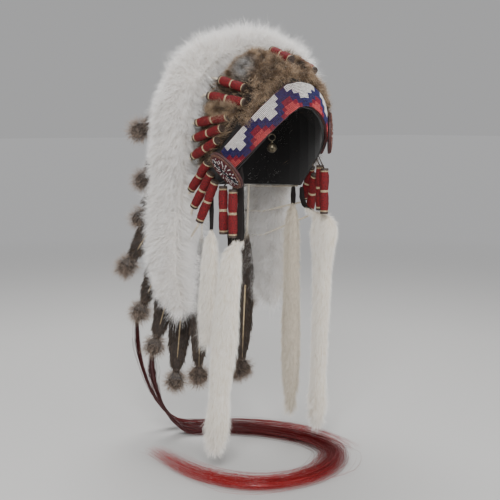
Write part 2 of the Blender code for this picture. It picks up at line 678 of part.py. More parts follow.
def make_bell():
    """A wire loop under the band's lower edge and the hawk bell that hangs on it."""
    lift = CAP_WALL + SEAT * 1.5 + BAND_THICK / 2
    reach = BELL_RING_RADIUS + BELL_WIRE + GAP
    centre = band_point(BELL_ANGLE, "R", BAND_WIDTH / 2 + reach, lift)
    out = out_direction(centre)
    out.z = 0
    out.normalize()
    side_way = out.cross(Vector((0, 0, 1)))
    bm = bmesh.new()
    turns, sides = 14, 6
    loops = []
    for i in range(turns):
        turn = 2 * math.pi * i / turns
        spoke = side_way * math.cos(turn) + Vector((0, 0, 1)) * math.sin(turn)
        ring = []
        for k in range(sides):
            roll = 2 * math.pi * k / sides
            offset = spoke * (BELL_RING_RADIUS + BELL_WIRE * math.cos(roll))
            ring.append(bm.verts.new(centre + offset + out * BELL_WIRE * math.sin(roll)))
        loops.append(ring)
    for i in range(turns):
        near, far = loops[i], loops[(i + 1) % turns]
        for k in range(sides):
            j = (k + 1) % sides
            bm.faces.new((near[k], near[j], far[j], far[k]))
    add_object("bell_ring", bm, "brass")
    top = centre - Vector((0, 0, BELL_RING_RADIUS + BELL_WIRE + GAP))
    profile = [
        Row(0, 0.20), Row(0.16, 0.26), Row(0.20, 0.50), Row(0.34, 0.88), Row(0.54, 1.0), Row(0.57, 1.12),
        Row(0.61, 1.12), Row(0.64, 1.0), Row(0.84, 0.80), Row(0.97, 0.42), Row(1.0, 0.15),
    ]
    rings = []
    for row in profile:
        level = top - Vector((0, 0, row.at * BELL_RADIUS * 2.3))
        ring = []
        for k in range(12):
            roll = 2 * math.pi * k / 12
            ring.append(level + Vector((math.cos(roll), math.sin(roll), 0)) * BELL_RADIUS * row.value)
        rings.append(ring)
    loft("bell", rings, "brass")


def ruff_place(share):
    """Backing line, half width and outer pile of the ruff at a share of one side, on the wearer's left."""
    spread, back, drop, channel, width, outer = smooth_curve(RUFF_RAIL, share)
    point = Vector((spread * RUFF_SPREAD, back * RUFF_SET_BACK, -drop * RUFF_LENGTH))
    wanted = CAP_WALL + GAP + channel * RUFF_CHANNEL + RUFF_INNER_THICK
    point += out_direction(point) * (wanted - lift_of(point))
    return point, width * RUFF_HALF_WIDTH, outer * RUFF_OUTER_THICK


def ruff_frame(share):
    """Backing line, way out from the head, way back and section sizes, on the wearer's left."""
    centre, width, outer = ruff_place(share)
    travel = Vector((1, 0, 0))
    if share > 0.01:
        travel = ruff_place(min(share + 0.02, 1))[0] - ruff_place(max(share - 0.02, 0))[0]
    out, back = frame_along(travel, out_direction(centre))
    if back.y < 0:
        back = -back
    return centre, out, back, width, outer


def mirror(vector):
    """The same place on the wearer's right."""
    return Vector((-vector.x, vector.y, vector.z))


def make_ruff():
    """The down ruff: a flattened tube over the crown and down both sides, cut into locks outside."""
    steps, points = 26, 12
    rings = []
    for i in range(-steps, steps + 1):
        centre, out, back, width, outer = ruff_frame(abs(i) / steps)
        ring = []
        for k in range(points):
            turn = 2 * math.pi * k / points
            lock = 1 + RUFF_TUFT * ((((i + steps) * 5 + k * 7) % 4) / 3 - 0.5)
            if math.sin(turn) < -0.01:
                offset = back * width * math.cos(turn) + out * RUFF_INNER_THICK * math.sin(turn)
            else:
                offset = (back * width * math.cos(turn) + out * outer * math.sin(turn)) * lock
            point = centre + offset
            ring.append(mirror(point) if i < 0 else point)
        rings.append(ring)
    return loft("ruff", rings, "white_down")


def smooth_path(route, steps=12):
    """Points along a smooth curve through a route, the length to each, and the length to each route point."""
    spans = [(far - near).length for near, far in zip(route, route[1:])]
    ways = [(far - near) / span for near, far, span in zip(route, route[1:], spans)]
    slopes = [ways[0] * spans[0]]
    for i in range(1, len(route) - 1):
        slopes.append((ways[i - 1] + ways[i]) / 2 * min(spans[i - 1], spans[i]))
    slopes.append(ways[-1] * spans[-1])
    points, lengths, marks = [route[0]], [0.0], [0.0]
    for i in range(len(spans)):
        for k in range(1, steps + 1):
            t = k / steps
            near = route[i] * (2 * t ** 3 - 3 * t * t + 1) + slopes[i] * (t ** 3 - 2 * t * t + t)
            far = route[i + 1] * (3 * t * t - 2 * t ** 3) + slopes[i + 1] * (t ** 3 - t * t)
            points.append(near + far)
            lengths.append(lengths[-1] + (points[-1] - points[-2]).length)
        marks.append(lengths[-1])
    return points, lengths, marks


def point_at(points, lengths, distance):
    """The point a distance along a walked curve."""
    distance = min(max(distance, 0.0), lengths[-1])
    for i in range(len(lengths) - 1):
        if distance <= lengths[i + 1]:
            share = (distance - lengths[i]) / max(lengths[i + 1] - lengths[i], 1e-9)
            return points[i].lerp(points[i + 1], share)
    return points[-1]


def fan_point(reach, aft, drop, side):
    """A point of the fan behind the ruff, so far aft of the foremost vane's depth."""
    turn = math.radians(FAN_SPREAD)
    aft += table(FAN_AFT, drop)
    x = reach * math.cos(turn) - aft * math.sin(turn)
    y = reach * math.sin(turn) + aft * math.cos(turn)
    return Vector((SIDE_SIGN[side] * x, y, -drop))


def feather_route(feather, side):
    """The shaft's way: it continues its quill, passes under the ruff and comes out behind it."""
    centre, out, back, width, outer = ruff_frame(feather.rail_share)
    turn = math.radians(FAN_SPREAD)
    reach = centre.x * math.cos(turn) + centre.y * math.sin(turn)
    under = centre - out * (RUFF_INNER_THICK + SHAFT_DEPTH)
    if side == "R":
        under = mirror(under)
    start, end = wrap_ends(WRAPS[FEATHERS.index(feather)], side)
    along = (end - start).normalized()
    root = end + along * GAP * 1.5
    behind = fan_point(reach - RUFF_INNER_THICK, feather.aft, -centre.z, side)
    tip = fan_point(feather.reach, feather.aft, feather.drop, side)
    return [root, root + along * SHAFT_START, under, behind, tip]


def nape_route(side):
    """The last feather's way, from the cap's rim at the nape straight down."""
    root_drop = cap_rim(NAPE_FEATHER_ANGLE, side) - 0.012
    root = around(NAPE_FEATHER_ANGLE, root_drop, CAP_WALL + SEAT + 0.0018, side)
    tip = fan_point(NAPE_FEATHER.reach, NAPE_FEATHER.aft, NAPE_FEATHER.drop, side)
    drop = Vector((0, 0, 0.030))
    return [root, root - drop, (root - drop).lerp(tip, 0.15), tip]


def feather_rings(route, vane_mark, face):
    """Sections of one feather: shaft, vane from a point of its route on, and fluff."""
    points, lengths, marks = smooth_path(route)
    vane_start, vane_end = marks[vane_mark] + VANE_START, lengths[-1] - FLUFF_LENGTH
    rows = [(vane_end + FLUFF_LENGTH * row.at, 0, 0, row.value) for row in reversed(FLUFF_ROWS)]
    for row in reversed(VANE_ROWS):
        rows.append((vane_start + (vane_end - vane_start) * row.at, row.width, row.thick, 0.0))
    shaft = [mark for mark in marks[1:vane_mark + 1] if mark < vane_start] + [0.0]
    rows += [(mark, SHAFT_ROW.width, SHAFT_ROW.thick, 0.0) for mark in sorted(shaft, reverse=True)]
    rings = []
    wide = None
    for distance, width, thick, fluff in rows:
        centre = point_at(points, lengths, distance)
        along = point_at(points, lengths, distance + 0.001) - point_at(points, lengths, distance - 0.001)
        if wide is None:
            deep, wide = frame_along(along, face)
        else:
            wide = frame_along(along, wide)[0]
            deep = wide.cross(along.normalized())
        half_width, half_depth = VANE_HALF_WIDTH * width, VANE_HALF_THICK * thick
        ring = []
        for k in range(8):
            turn = 2 * math.pi * k / 8
            if fluff:
                half_width = half_depth = FLUFF_RADIUS * fluff * (1.12 if k % 2 else 0.86)
            ring.append(centre + wide * half_width * math.cos(turn) + deep * half_depth * math.sin(turn))
        rings.append(ring)
    return rings


def make_feathers():
    """Dark feathers in a fan behind the ruff on each side, each with a fluff tied to its tip."""
    for side in "RL":
        turn = math.radians(FAN_SPREAD)
        aft = Vector((-SIDE_SIGN[side] * math.sin(turn), math.cos(turn), 0))
        for feather in FEATHERS:
            rings = feather_rings(feather_route(feather, side), 3, aft)
            loft("feather_" + side + feather.name, rings, "dark_feather")
        rings = feather_rings(nape_route(side), 2, Vector((0, 1, 0)))
        loft("feather_" + side + NAPE_FEATHER.name, rings, "dark_feather")


def rim_ring(angle, side):
    """The top of a tail's neck, cut to lie under the cap's sloping rim."""
    per_degree = (around(angle + 1, NAPE_DROP, 0, side) - around(angle, NAPE_DROP, 0, side)).length
    ring = []
    for k in range(8):
        turn = 2 * math.pi * k / 8
        place = angle + math.cos(turn) * NECK_HALF_WIDTH / per_degree
        lift = CAP_WALL / 2 + math.sin(turn) * NECK_HALF_THICK
        ring.append(around(place, cap_rim(place, side) + GAP * 2, lift, side))
    return ring


def make_tails():
    """White fur tails: a narrow neck from the cap's rim, then the furred length with a ragged end."""
    for tail in TAILS:
        sign = SIDE_SIGN[tail.side]
        top = Vector((sign * tail.top_x, tail.top_y, -tail.top_drop))
        end = Vector((sign * tail.end_x, tail.end_y, -tail.end_drop))
        turn = math.radians(tail.neck_angle)
        wide = Vector((sign * HEAD_HALF_WIDTH * math.cos(turn), HEAD_HALF_LENGTH * math.sin(turn), 0))
        wide.normalize()
        deep = Vector((sign * math.sin(turn), -math.cos(turn), 0))
        rings = [rim_ring(tail.neck_angle, tail.side)]
        middle = sum(rings[0], Vector()) / len(rings[0])
        rows = [(Vector((middle.x, middle.y, top.z + NECK_RUN)), NECK_HALF_WIDTH, NECK_HALF_THICK, 0.0)]
        for row in TAIL_SHAPES[tail.shape]:
            centre = top.lerp(end, row.at)
            rows.append((centre, TAIL_HALF_WIDTH * row.width, TAIL_HALF_THICK * row.thick, 0.12))
        for r, (centre, half_width, half_depth, tuft) in enumerate(rows):
            ring = []
            for k in range(8):
                angle = 2 * math.pi * k / 8
                lock = 1 + tuft * (((r * 3 + k * 5) % 4) / 3 - 0.5)
                offset = wide * half_width * math.cos(angle) + deep * half_depth * math.sin(angle)
                ring.append(centre + offset * lock)
            rings.append(ring)
        loft(tail.name, rings, "white_fur")


def make_horsehair():
    """Locks of red horsehair tied to two feathers' tips: down, then round on the floor."""
    for name, feather, places, steps in (("horsehair_main", FEATHERS[6], HAIR_MAIN, 38),
                                         ("horsehair_wisp", FEATHERS[5], HAIR_WISP, 24)):
        tip = fan_point(feather.reach, feather.aft, feather.drop, "R")
        route = [(tip.x, tip.y, tip.z - HAIR_SEAT + FLOOR_DROP, 0.22)] + places
        rings = []
        for i in range(steps + 1):
            share = i / steps
            x, y, above, size = smooth_curve(route, share)
            ahead, behind = (smooth_curve(route, min(max(share + d, 0), 1)) for d in (0.02, -0.02))
            along = Vector((ahead[0] - behind[0], ahead[1] - behind[1], ahead[2] - behind[2]))
            wide, deep = frame_along(along, Vector((along.y, -along.x, 0)))
            ring = []
            for k in range(8):
                turn = 2 * math.pi * k / 8
                lock = 1 + 0.16 * math.cos(3 * turn + share * 14)
                half_width = HAIR_HALF_WIDTH * size * lock
                half_height = min(HAIR_HALF_HEIGHT * (0.45 + 0.55 * size), above - 0.0002)
                ring.append(Vector((x, y, above - FLOOR_DROP)) + wide * half_width * math.cos(turn)
                            + deep * half_height * math.sin(turn))
            rings.append(ring)
        loft(name, rings, "red_hair")


def main():
    """Build the headdress in an empty scene."""
    for obj in list(bpy.data.objects):
        bpy.data.objects.remove(obj, do_unlink=True)
    make_skull_cap()
    make_brow_band()
    make_fur_cover()
    make_fur_patches()
    make_wraps()
    make_rosettes()
    make_bell()
    make_ruff()
    make_feathers()
    make_tails()
    make_horsehair()


main()
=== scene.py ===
import math

import bpy
import numpy as np
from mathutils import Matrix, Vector


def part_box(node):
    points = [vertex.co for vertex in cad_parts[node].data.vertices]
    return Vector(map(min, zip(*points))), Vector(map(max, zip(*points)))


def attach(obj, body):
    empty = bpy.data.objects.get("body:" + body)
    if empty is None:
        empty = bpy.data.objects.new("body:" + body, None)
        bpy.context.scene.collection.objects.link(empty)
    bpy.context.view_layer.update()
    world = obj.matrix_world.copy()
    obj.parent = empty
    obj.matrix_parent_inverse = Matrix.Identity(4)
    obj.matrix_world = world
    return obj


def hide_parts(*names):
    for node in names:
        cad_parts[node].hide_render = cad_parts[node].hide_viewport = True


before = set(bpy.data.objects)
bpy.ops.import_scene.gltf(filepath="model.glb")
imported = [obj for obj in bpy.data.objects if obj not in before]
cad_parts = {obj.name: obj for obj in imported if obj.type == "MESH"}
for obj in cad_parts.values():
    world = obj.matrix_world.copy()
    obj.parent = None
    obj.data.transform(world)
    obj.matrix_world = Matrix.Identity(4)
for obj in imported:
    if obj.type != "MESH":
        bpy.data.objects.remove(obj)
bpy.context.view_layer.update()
dice = np.random.default_rng(7)
mergeGap = 0.00002  # corners closer than this are one corner
print("frame loaded")


# Small helpers for nodes and materials

def linear(hexColour):  # sRGB hex to the linear colour a socket takes
    parts = [int(hexColour[i:i + 2], 16) / 255 for i in (1, 3, 5)]
    return [part / 12.92 if part <= 0.04045 else ((part + 0.055) / 1.055) ** 2.4 for part in parts] + [1.0]


def addNode(tree, kind, settings=None, links=None):
    node = tree.nodes.new(kind)
    for name, value in (settings or {}).items():
        if isinstance(name, int) or name in node.inputs:
            node.inputs[name].default_value = value
        else:
            setattr(node, name, value)
    for name, source in (links or {}).items():
        tree.links.new(source, node.inputs[name])
    return node


def newMaterial(name, settings):
    material = bpy.data.materials.new(name)
    material.use_nodes = True
    shader = material.node_tree.nodes["Principled BSDF"]
    for socket, value in settings.items():
        shader.inputs[socket].default_value = value
    return material, material.node_tree, shader


def colourStops(tree, factor, stops):
    ramp = addNode(tree, "ShaderNodeValToRGB", links={"Fac": factor})
    marks = ramp.color_ramp.elements
    while len(marks) < len(stops):
        marks.new(0.5)
    for mark, (place, colour) in zip(marks, stops):
        mark.position = place
        mark.color = linear(colour)
    return ramp.outputs["Color"]


def mixColours(tree, factor, first, second):
    mix = addNode(tree, "ShaderNodeMix", {"data_type": "RGBA"}, {0: factor, 6: first, 7: second})
    return mix.outputs[2]


def objectPlace(tree):  # the place on the object, in metres
    return addNode(tree, "ShaderNodeTexCoord").outputs["Object"]


# Hair, fur and down: each strand's UV holds a random number in u and the way from root to tip in v. A patch
# gives the strands near one place their own colours, and blotches darken them by noise of a real size
def strandMaterial(name, plain, varied, settings, patch=None, blotch=None):
    material, tree, shader = newMaterial(name, settings)
    strand = addNode(tree, "ShaderNodeSeparateXYZ", links={0: addNode(tree, "ShaderNodeUVMap").outputs[0]})
    choice, along = strand.outputs["X"], strand.outputs["Y"]
    colour = mixColours(tree, choice, colourStops(tree, along, plain), colourStops(tree, along, varied))
    if patch:
        away = addNode(tree, "ShaderNodeVectorMath", {"operation": "DISTANCE", 1: patch["centre"]},
                       {0: objectPlace(tree)})
        limits = {"From Min": patch["inner"], "From Max": patch["outer"], "To Min": 1.0, "To Max": 0.0}
        inside = addNode(tree, "ShaderNodeMapRange", limits, {"Value": away.outputs["Value"]})
        colour = mixColours(tree, inside.outputs[0], colour, colourStops(tree, along, patch["stops"]))
    if blotch:
        noise = addNode(tree, "ShaderNodeTexNoise", {"Scale": 1 / blotch["grain"], "Detail": 3.0},
                        {"Vector": objectPlace(tree)})
        shade = colourStops(tree, noise.outputs["Fac"], blotch["stops"])
        darkened = addNode(tree, "ShaderNodeMix", {"data_type": "RGBA", "blend_type": "MULTIPLY", 0: 1.0},
                           {6: colour, 7: shade})
        colour = darkened.outputs[2]
    tree.links.new(colour, shader.inputs["Base Color"])
    return material


# A mottled surface: two colours by noise of a real size in metres, and the same noise as relief
def mottledMaterial(name, dark, light, grain, relief, settings):
    material, tree, shader = newMaterial(name, settings)
    noise = addNode(tree, "ShaderNodeTexNoise", {"Scale": 1 / grain, "Detail": 4.0},
                    {"Vector": objectPlace(tree)})
    height = noise.outputs["Fac"]
    tree.links.new(colourStops(tree, height, [(0.32, dark), (0.68, light)]), shader.inputs["Base Color"])
    bump = addNode(tree, "ShaderNodeBump", {"Distance": relief, "Strength": 0.8}, {"Height": height})
    tree.links.new(bump.outputs["Normal"], shader.inputs["Normal"])
    return material


# Between two places along an axis, in metres, a plain colour gives way to the material's own
def plainEnd(material, axis, plainAt, ownAt, colour):
    tree = material.node_tree
    shader = tree.nodes["Principled BSDF"]
    own = shader.inputs["Base Color"].links[0].from_socket
    split = addNode(tree, "ShaderNodeSeparateXYZ", links={0: objectPlace(tree)})
    inside = addNode(tree, "ShaderNodeMapRange", {"From Min": plainAt, "From Max": ownAt},
                     {"Value": split.outputs[axis]})
    mix = addNode(tree, "ShaderNodeMix", {"data_type": "RGBA", 6: linear(colour)},
                  {0: inside.outputs[0], 7: own})
    tree.links.new(mix.outputs[2], shader.inputs["Base Color"])


# Marabou down, bleached white: matt, with a soft sheen, a little cream at the roots
downMaterial = strandMaterial("marabouDown", [(0.0, "#ebe6df"), (0.35, "#f8f6f4"), (1.0, "#fdfdfd")],
                              [(0.0, "#ddd5ca"), (0.5, "#f3efea"), (1.0, "#fbf9f7")],
                              {"Roughness": 0.75, "Sheen Weight": 0.3})
downBase = mottledMaterial("downUnderlay", "#e6e1da", "#f6f4f1", 0.006, 0.0012, {"Roughness": 0.95})
# Brown rabbit pelt: dark underfur, banded sand and black guard hairs, and one slate-grey patch
rabbitMaterial = strandMaterial(
    "rabbitFur",
    [(0.0, "#2e2723"), (0.45, "#664f3a"), (0.8, "#a38160"), (1.0, "#2a2019")],
    [(0.0, "#26211e"), (0.4, "#4d3a2b"), (0.75, "#bfa583"), (1.0, "#ebe0cb")],
    {"Roughness": 0.6, "Sheen Weight": 0.15},
    patch={"centre": (-0.058, -0.036, -0.012), "inner": 0.010, "outer": 0.026,
           "stops": [(0.0, "#6b6a6a"), (0.6, "#a5a3a1"), (1.0, "#d8d5d0")]},
    blotch={"grain": 0.011, "stops": [(0.38, "#a5978a"), (0.55, "#ffffff")]})
rabbitBase = mottledMaterial("rabbitHide", "#2e241c", "#5a4532", 0.004, 0.0010, {"Roughness": 0.95})
# Ermine-like white fur, and a darker, greyer copy of it that is painted shade for the inner tail, which hangs
# in shadow
ermineMaterial = strandMaterial("ermineFur", [(0.0, "#efe8dc"), (0.5, "#fbf8f2"), (1.0, "#fdfcf9")],
                                [(0.0, "#ddd0bb"), (0.5, "#f4eee2"), (1.0, "#fbf7ef")],
                                {"Roughness": 0.65, "Sheen Weight": 0.2})
shadedErmine = strandMaterial("agedErmineFur", [(0.0, "#c9bead"), (0.5, "#e2d9c9"), (1.0, "#f0eade")],
                            [(0.0, "#b3a793"), (0.5, "#d2c7b3"), (1.0, "#e9e1d2")],
                            {"Roughness": 0.65, "Sheen Weight": 0.2})
# Natural dark turkey feather: brown-black barbs with grey-brown tips, and bare quills of pale horn, which lie
# forward of the vanes, or above them at the nape
barbMaterial = strandMaterial("featherBarbs", [(0.0, "#241c16"), (0.6, "#3a2e25"), (1.0, "#544536")],
                              [(0.0, "#1b1511"), (0.6, "#4a3b2f"), (1.0, "#7f6c57")],
                              {"Roughness": 0.45, "Sheen Weight": 0.1})
bareQuill = {"colour": "#d9cdb8", "forward": (0.098, 0.112), "above": (-0.250, -0.275)}
vaneLook = ("#1b1512", "#40332a", 0.003, 0.0004, {"Roughness": 0.5})
vaneMaterial = mottledMaterial("featherVane", *vaneLook)
plainEnd(vaneMaterial, "Y", *bareQuill["forward"], bareQuill["colour"])
napeMaterial = mottledMaterial("napeFeatherVane", *vaneLook)
plainEnd(napeMaterial, "Z", *bareQuill["above"], bareQuill["colour"])
shaftMaterial = mottledMaterial("featherShaft", "#8f7a5e", "#cdb993", 0.004, 0.0001, {"Roughness": 0.35})
# Grey-brown hackle fluff at the feathers' tips
fluffMaterial = strandMaterial("fluffDown", [(0.0, "#5f5046"), (0.5, "#9a8879"), (1.0, "#cabbab")],
                               [(0.0, "#4a3b2f"), (0.5, "#7d6856"), (1.0, "#a9937b")],
                               {"Roughness": 0.75, "Sheen Weight": 0.2})
# Dyed horsehair: glossy, dark red, brighter where light passes the ends
horsehairMaterial = strandMaterial("dyedHorsehair", [(0.0, "#3a0406"), (0.5, "#76050a"), (1.0, "#a3080f")],
                                   [(0.0, "#200304"), (0.5, "#430406"), (1.0, "#b91a1c")],
                                   {"Roughness": 0.38, "Coat Weight": 0.15})
# Red stroud wool cloth, matt, threads about 0.6 mm
clothMaterial = mottledMaterial("stroudCloth", "#340006", "#7c020b", 0.0016, 0.0004, {"Roughness": 0.85})
threadMaterial = mottledMaterial("linenThread", "#74624a", "#c2b08e", 0.0012, 0.0002, {"Roughness": 0.7})
darkTie = mottledMaterial("darkTie", "#1d1613", "#4a3a31", 0.002, 0.0002, {"Roughness": 0.6})
# Black wool felt of the cap, fibres drawn as 1 mm flecks
feltMaterial = mottledMaterial("blackFelt", "#0d0c0d", "#211f20", 0.0010, 0.0003,
                               {"Roughness": 0.95, "Sheen Weight": 0.2})
# Oxblood buckskin under the beads, which shows at their edges
leatherMaterial = mottledMaterial("oxbloodLeather", "#24090b", "#4a1618", 0.0025, 0.0003, {"Roughness": 0.6})
# Old brass, dull with brown patina in patches
brassMaterial = mottledMaterial("oldBrass", "#2b2721", "#6f6756", 0.0030, 0.0001,
                                {"Roughness": 0.40, "Metallic": 1.0})
# Opaque glass seed beads, each a touch lighter or darker
glass = {"grain": 0.0021, "relief": 0.00005, "look": {"Roughness": 0.22, "IOR": 1.5}, "colours": {
    "W": ("chalkWhiteBeads", "#cfc9c4", "#f4f1ee"), "N": ("navyBeads", "#15153f", "#2c2c6e"),
    "R": ("crimsonBeads", "#6a1024", "#9c1f38"), "O": ("coralBeads", "#a02f36", "#d05c5a"),
    "M": ("maroonBeads", "#3d0f1a", "#6d1c2c"), "G": ("inkBeads", "#0d1420", "#1d2c3c"),
    "T": ("rustBeads", "#4a2620", "#8a6353")}}
beadMaterials = {letter: mottledMaterial(*look, glass["grain"], glass["relief"], glass["look"])
                 for letter, look in glass["colours"].items()}
beadOrder = list(beadMaterials)
print("materials made")


# Small helpers for pieces

def deselect():
    bpy.ops.object.select_all(action="DESELECT")


def finishPiece(piece, slot, *nodes):
    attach(piece, "root")
    if nodes:
        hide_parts(*nodes)


def paintNode(node, material):
    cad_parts[node].material_slots[0].material = material


def shortName(node):  # wrap_crown_1 gives crown1
    return "".join(node.split("_")[1:])


def addObject(name, data):
    piece = bpy.data.objects.new(name, data)
    bpy.context.collection.objects.link(piece)
    return piece


def ownCopy(source, name):
    piece = source.copy()
    piece.data = source.data.copy()
    piece.name = piece.data.name = name
    bpy.context.collection.objects.link(piece)
    return piece


def selectOnly(*pieces):
    deselect()
    for piece in pieces:
        piece.select_set(True)
    bpy.context.view_layer.objects.active = pieces[0]


def meshPoints(mesh):
    points = np.empty(len(mesh.vertices) * 3)
    mesh.vertices.foreach_get("co", points)
    return points.reshape(-1, 3)


def nodePoints(node):
    return meshPoints(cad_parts[node].data)


def nodeCorners(node):  # each corner of a solid once
    return np.unique(nodePoints(node).round(6), axis=0)


def gapsTo(node, places):  # how far each place lies from a solid's surface
    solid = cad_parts[node]
    places = [Vector(place) for place in places]
    return np.array([(solid.closest_point_on_mesh(place)[1] - place).length for place in places])


def unit(vectors):
    return vectors / np.maximum(np.linalg.norm(vectors, axis=-1, keepdims=True), 1e-9)


# A soft copy of a CAD solid: merged, smoothed, and sunk a little so that its hair reaches the solid's outline
def softCopy(node, name, sink, levels, material):
    piece = ownCopy(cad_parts[node], name)
    piece.parent = None
    selectOnly(piece)
    bpy.ops.object.mode_set(mode="EDIT")
    bpy.ops.mesh.select_all(action="SELECT")
    bpy.ops.mesh.remove_doubles(threshold=mergeGap)
    bpy.ops.mesh.tris_convert_to_quads()
    bpy.ops.object.mode_set(mode="OBJECT")
    smooth = piece.modifiers.new("smooth", "SUBSURF")
    smooth.levels = smooth.render_levels = levels
    bpy.ops.object.modifier_apply(modifier=smooth.name)
    inward = piece.modifiers.new("sink", "DISPLACE")
    inward.strength, inward.mid_level = -sink, 0.0
    bpy.ops.object.modifier_apply(modifier=inward.name)
    bpy.ops.object.shade_smooth()
    piece.data.materials.clear()
    piece.data.materials.append(material)
    return piece


# Roots spread evenly by area over a mesh, with the surface's own normal at each
def scatter(piece, count):
    mesh = piece.data
    mesh.calc_loop_triangles()
    index = np.empty(len(mesh.loop_triangles) * 3, dtype=np.int32)
    mesh.loop_triangles.foreach_get("vertices", index)
    corners = meshPoints(mesh)[index.reshape(-1, 3)]
    cross = np.cross(corners[:, 1] - corners[:, 0], corners[:, 2] - corners[:, 0])
    areas = np.linalg.norm(cross, axis=1)
    pick = dice.choice(len(areas), count, p=areas / areas.sum())
    a, b = dice.random((count, 1)), dice.random((count, 1))
    flip = a + b > 1
    a, b = np.where(flip, 1 - a, a), np.where(flip, 1 - b, b)
    corner = corners[pick]
    roots = corner[:, 0] + a * (corner[:, 1] - corner[:, 0]) + b * (corner[:, 2] - corner[:, 0])
    return roots, unit(cross)[pick]


# Strands: how much narrower a tip is than a root, points along a hair, and how many find their lock at once
strands = {"taper": 0.75, "points": 4, "batch": 2000}


# One mesh of tapered strands from their points: (strand, step, xyz)
def strandMesh(name, points, width, material):
    count, steps = points.shape[:2]
    way = unit(np.gradient(points, axis=1))
    aside = unit(np.cross(way, unit(dice.normal(size=(count, 1, 3)))))
    share = np.linspace(0, 1, steps)[None, :, None]
    half = width / 2 * (1 - strands["taper"] * share)
    near, far = points - aside * half, points + aside * half
    vertices = np.stack([near[:, :-1], far[:, :-1]], axis=2).reshape(count, -1, 3)
    vertices = np.concatenate([vertices, points[:, -1:]], axis=1)
    perStrand = vertices.shape[1]
    faces = [[2 * step, 2 * step + 1, 2 * step + 3, 2 * step + 2] for step in range(steps - 2)]
    faces.append([perStrand - 3, perStrand - 2, perStrand - 1])
    loops = np.concatenate([np.array(face) for face in faces])
    sizes = np.array([len(face) for face in faces])
    allLoops = (loops[None, :] + perStrand * np.arange(count)[:, None]).ravel().astype(np.int32)
    allSizes = np.tile(sizes, count)
    starts = np.concatenate([[0], np.cumsum(allSizes)[:-1]]).astype(np.int32)
    mesh = bpy.data.meshes.new(name)
    mesh.vertices.add(count * perStrand)
    mesh.vertices.foreach_set("co", vertices.ravel())
    mesh.loops.add(len(allLoops))
    mesh.loops.foreach_set("vertex_index", allLoops)
    mesh.polygons.add(len(allSizes))
    mesh.polygons.foreach_set("loop_start", starts)
    along = np.minimum(np.arange(perStrand) // 2, steps - 1) / (steps - 1)
    uv = np.empty((len(allLoops), 2))
    uv[:, 0] = np.repeat(dice.random(count), len(loops))
    uv[:, 1] = along[allLoops % perStrand]
    mesh.uv_layers.new(name="UVMap").data.foreach_set("uv", uv.ravel())
    mesh.update()
    mesh.materials.append(material)
    mesh.shade_smooth()
    return addObject(name, mesh)


# Hair on a surface. lift is how far it stands up, comb follows flow, stray is disorder, and each strand leans
# towards the nearest of its locks by pull
def growHair(name, roots, normals, flow, hair, material, lengthen=None):
    count = len(roots)
    flow = flow - normals * np.sum(flow * normals, axis=1, keepdims=True)
    away = unit(normals * hair["lift"] + flow * hair["comb"] + dice.normal(0, hair["stray"], (count, 3)))
    length = dice.uniform(hair["short"], hair["long"], (count, 1))
    if lengthen is not None:
        length = length * lengthen[:, None]
    share = np.linspace(0, 1, strands["points"])[None, :, None]
    fall = np.array([0, 0, -hair.get("droop", 0.0)])
    curl = dice.normal(0, hair["curl"], (count, 1, 3))
    points = roots[:, None] + (away[:, None] * share + (curl + fall) * share ** 2) * length[:, None]
    locks = dice.choice(count, hair["locks"], replace=False)
    nearest = np.empty(count, dtype=int)
    for start in range(0, count, strands["batch"]):
        end = start + strands["batch"]
        gap = roots[start:end, None] - roots[None, locks]
        nearest[start:end] = locks[np.argmin(np.einsum("ijk,ijk->ij", gap, gap), axis=1)]
    lead = points[nearest]
    points = points + (lead - points) * (hair["pull"] * share ** 1.5)
    return strandMesh(name, points, hair["width"], material)


# The camera stands where the photograph was taken from
camera = {"place": (-0.8949, -1.20395, -0.090), "forward": (0.588, 0.809), "down": 7.15, "lens": 72.94,
          "sensor": 36}


def placeCamera():
    data = bpy.data.cameras.new("photoCamera")
    data.lens, data.sensor_width = camera["lens"], camera["sensor"]
    taker = addObject("photoCamera", data)
    tilt = math.radians(camera["down"])
    level = math.cos(tilt)
    ahead = Vector((camera["forward"][0] * level, camera["forward"][1] * level, -math.sin(tilt)))
    taker.location = camera["place"]
    taker.rotation_euler = ahead.to_track_quat("-Z", "Y").to_euler()
    bpy.context.scene.camera = taker


placeCamera()
print("camera placed")


# The down ruff: a soft white underlayer, and down fibres in locks over it. The fibres' length is changed by
# height, by distance from the middle, and on the side that faces the wearer
ruff = {"sink": 0.0075, "count": 114000, "pieces": 3, "crownFrom": -0.02, "facing": -0.1,
        "byHeight": ([-0.42, -0.30, -0.10, -0.03], [0.50, 1.0, 1.0, 1.25]),
        "bySpread": ([0.11, 0.14], [1.0, 0.72]), "inside": ([-0.24, -0.15], [2.0, 1.3]),
        "flow": [0.0, 0.1, -0.6], "outward": 0.3, "crownFlow": [0.0, 0.05, 0.2],
        "hair": {"short": 0.010, "long": 0.0245, "width": 0.00042, "lift": 0.9, "comb": 0.55, "stray": 0.42,
                 "curl": 0.22, "droop": 0.12, "locks": 3000, "pull": 0.60}}


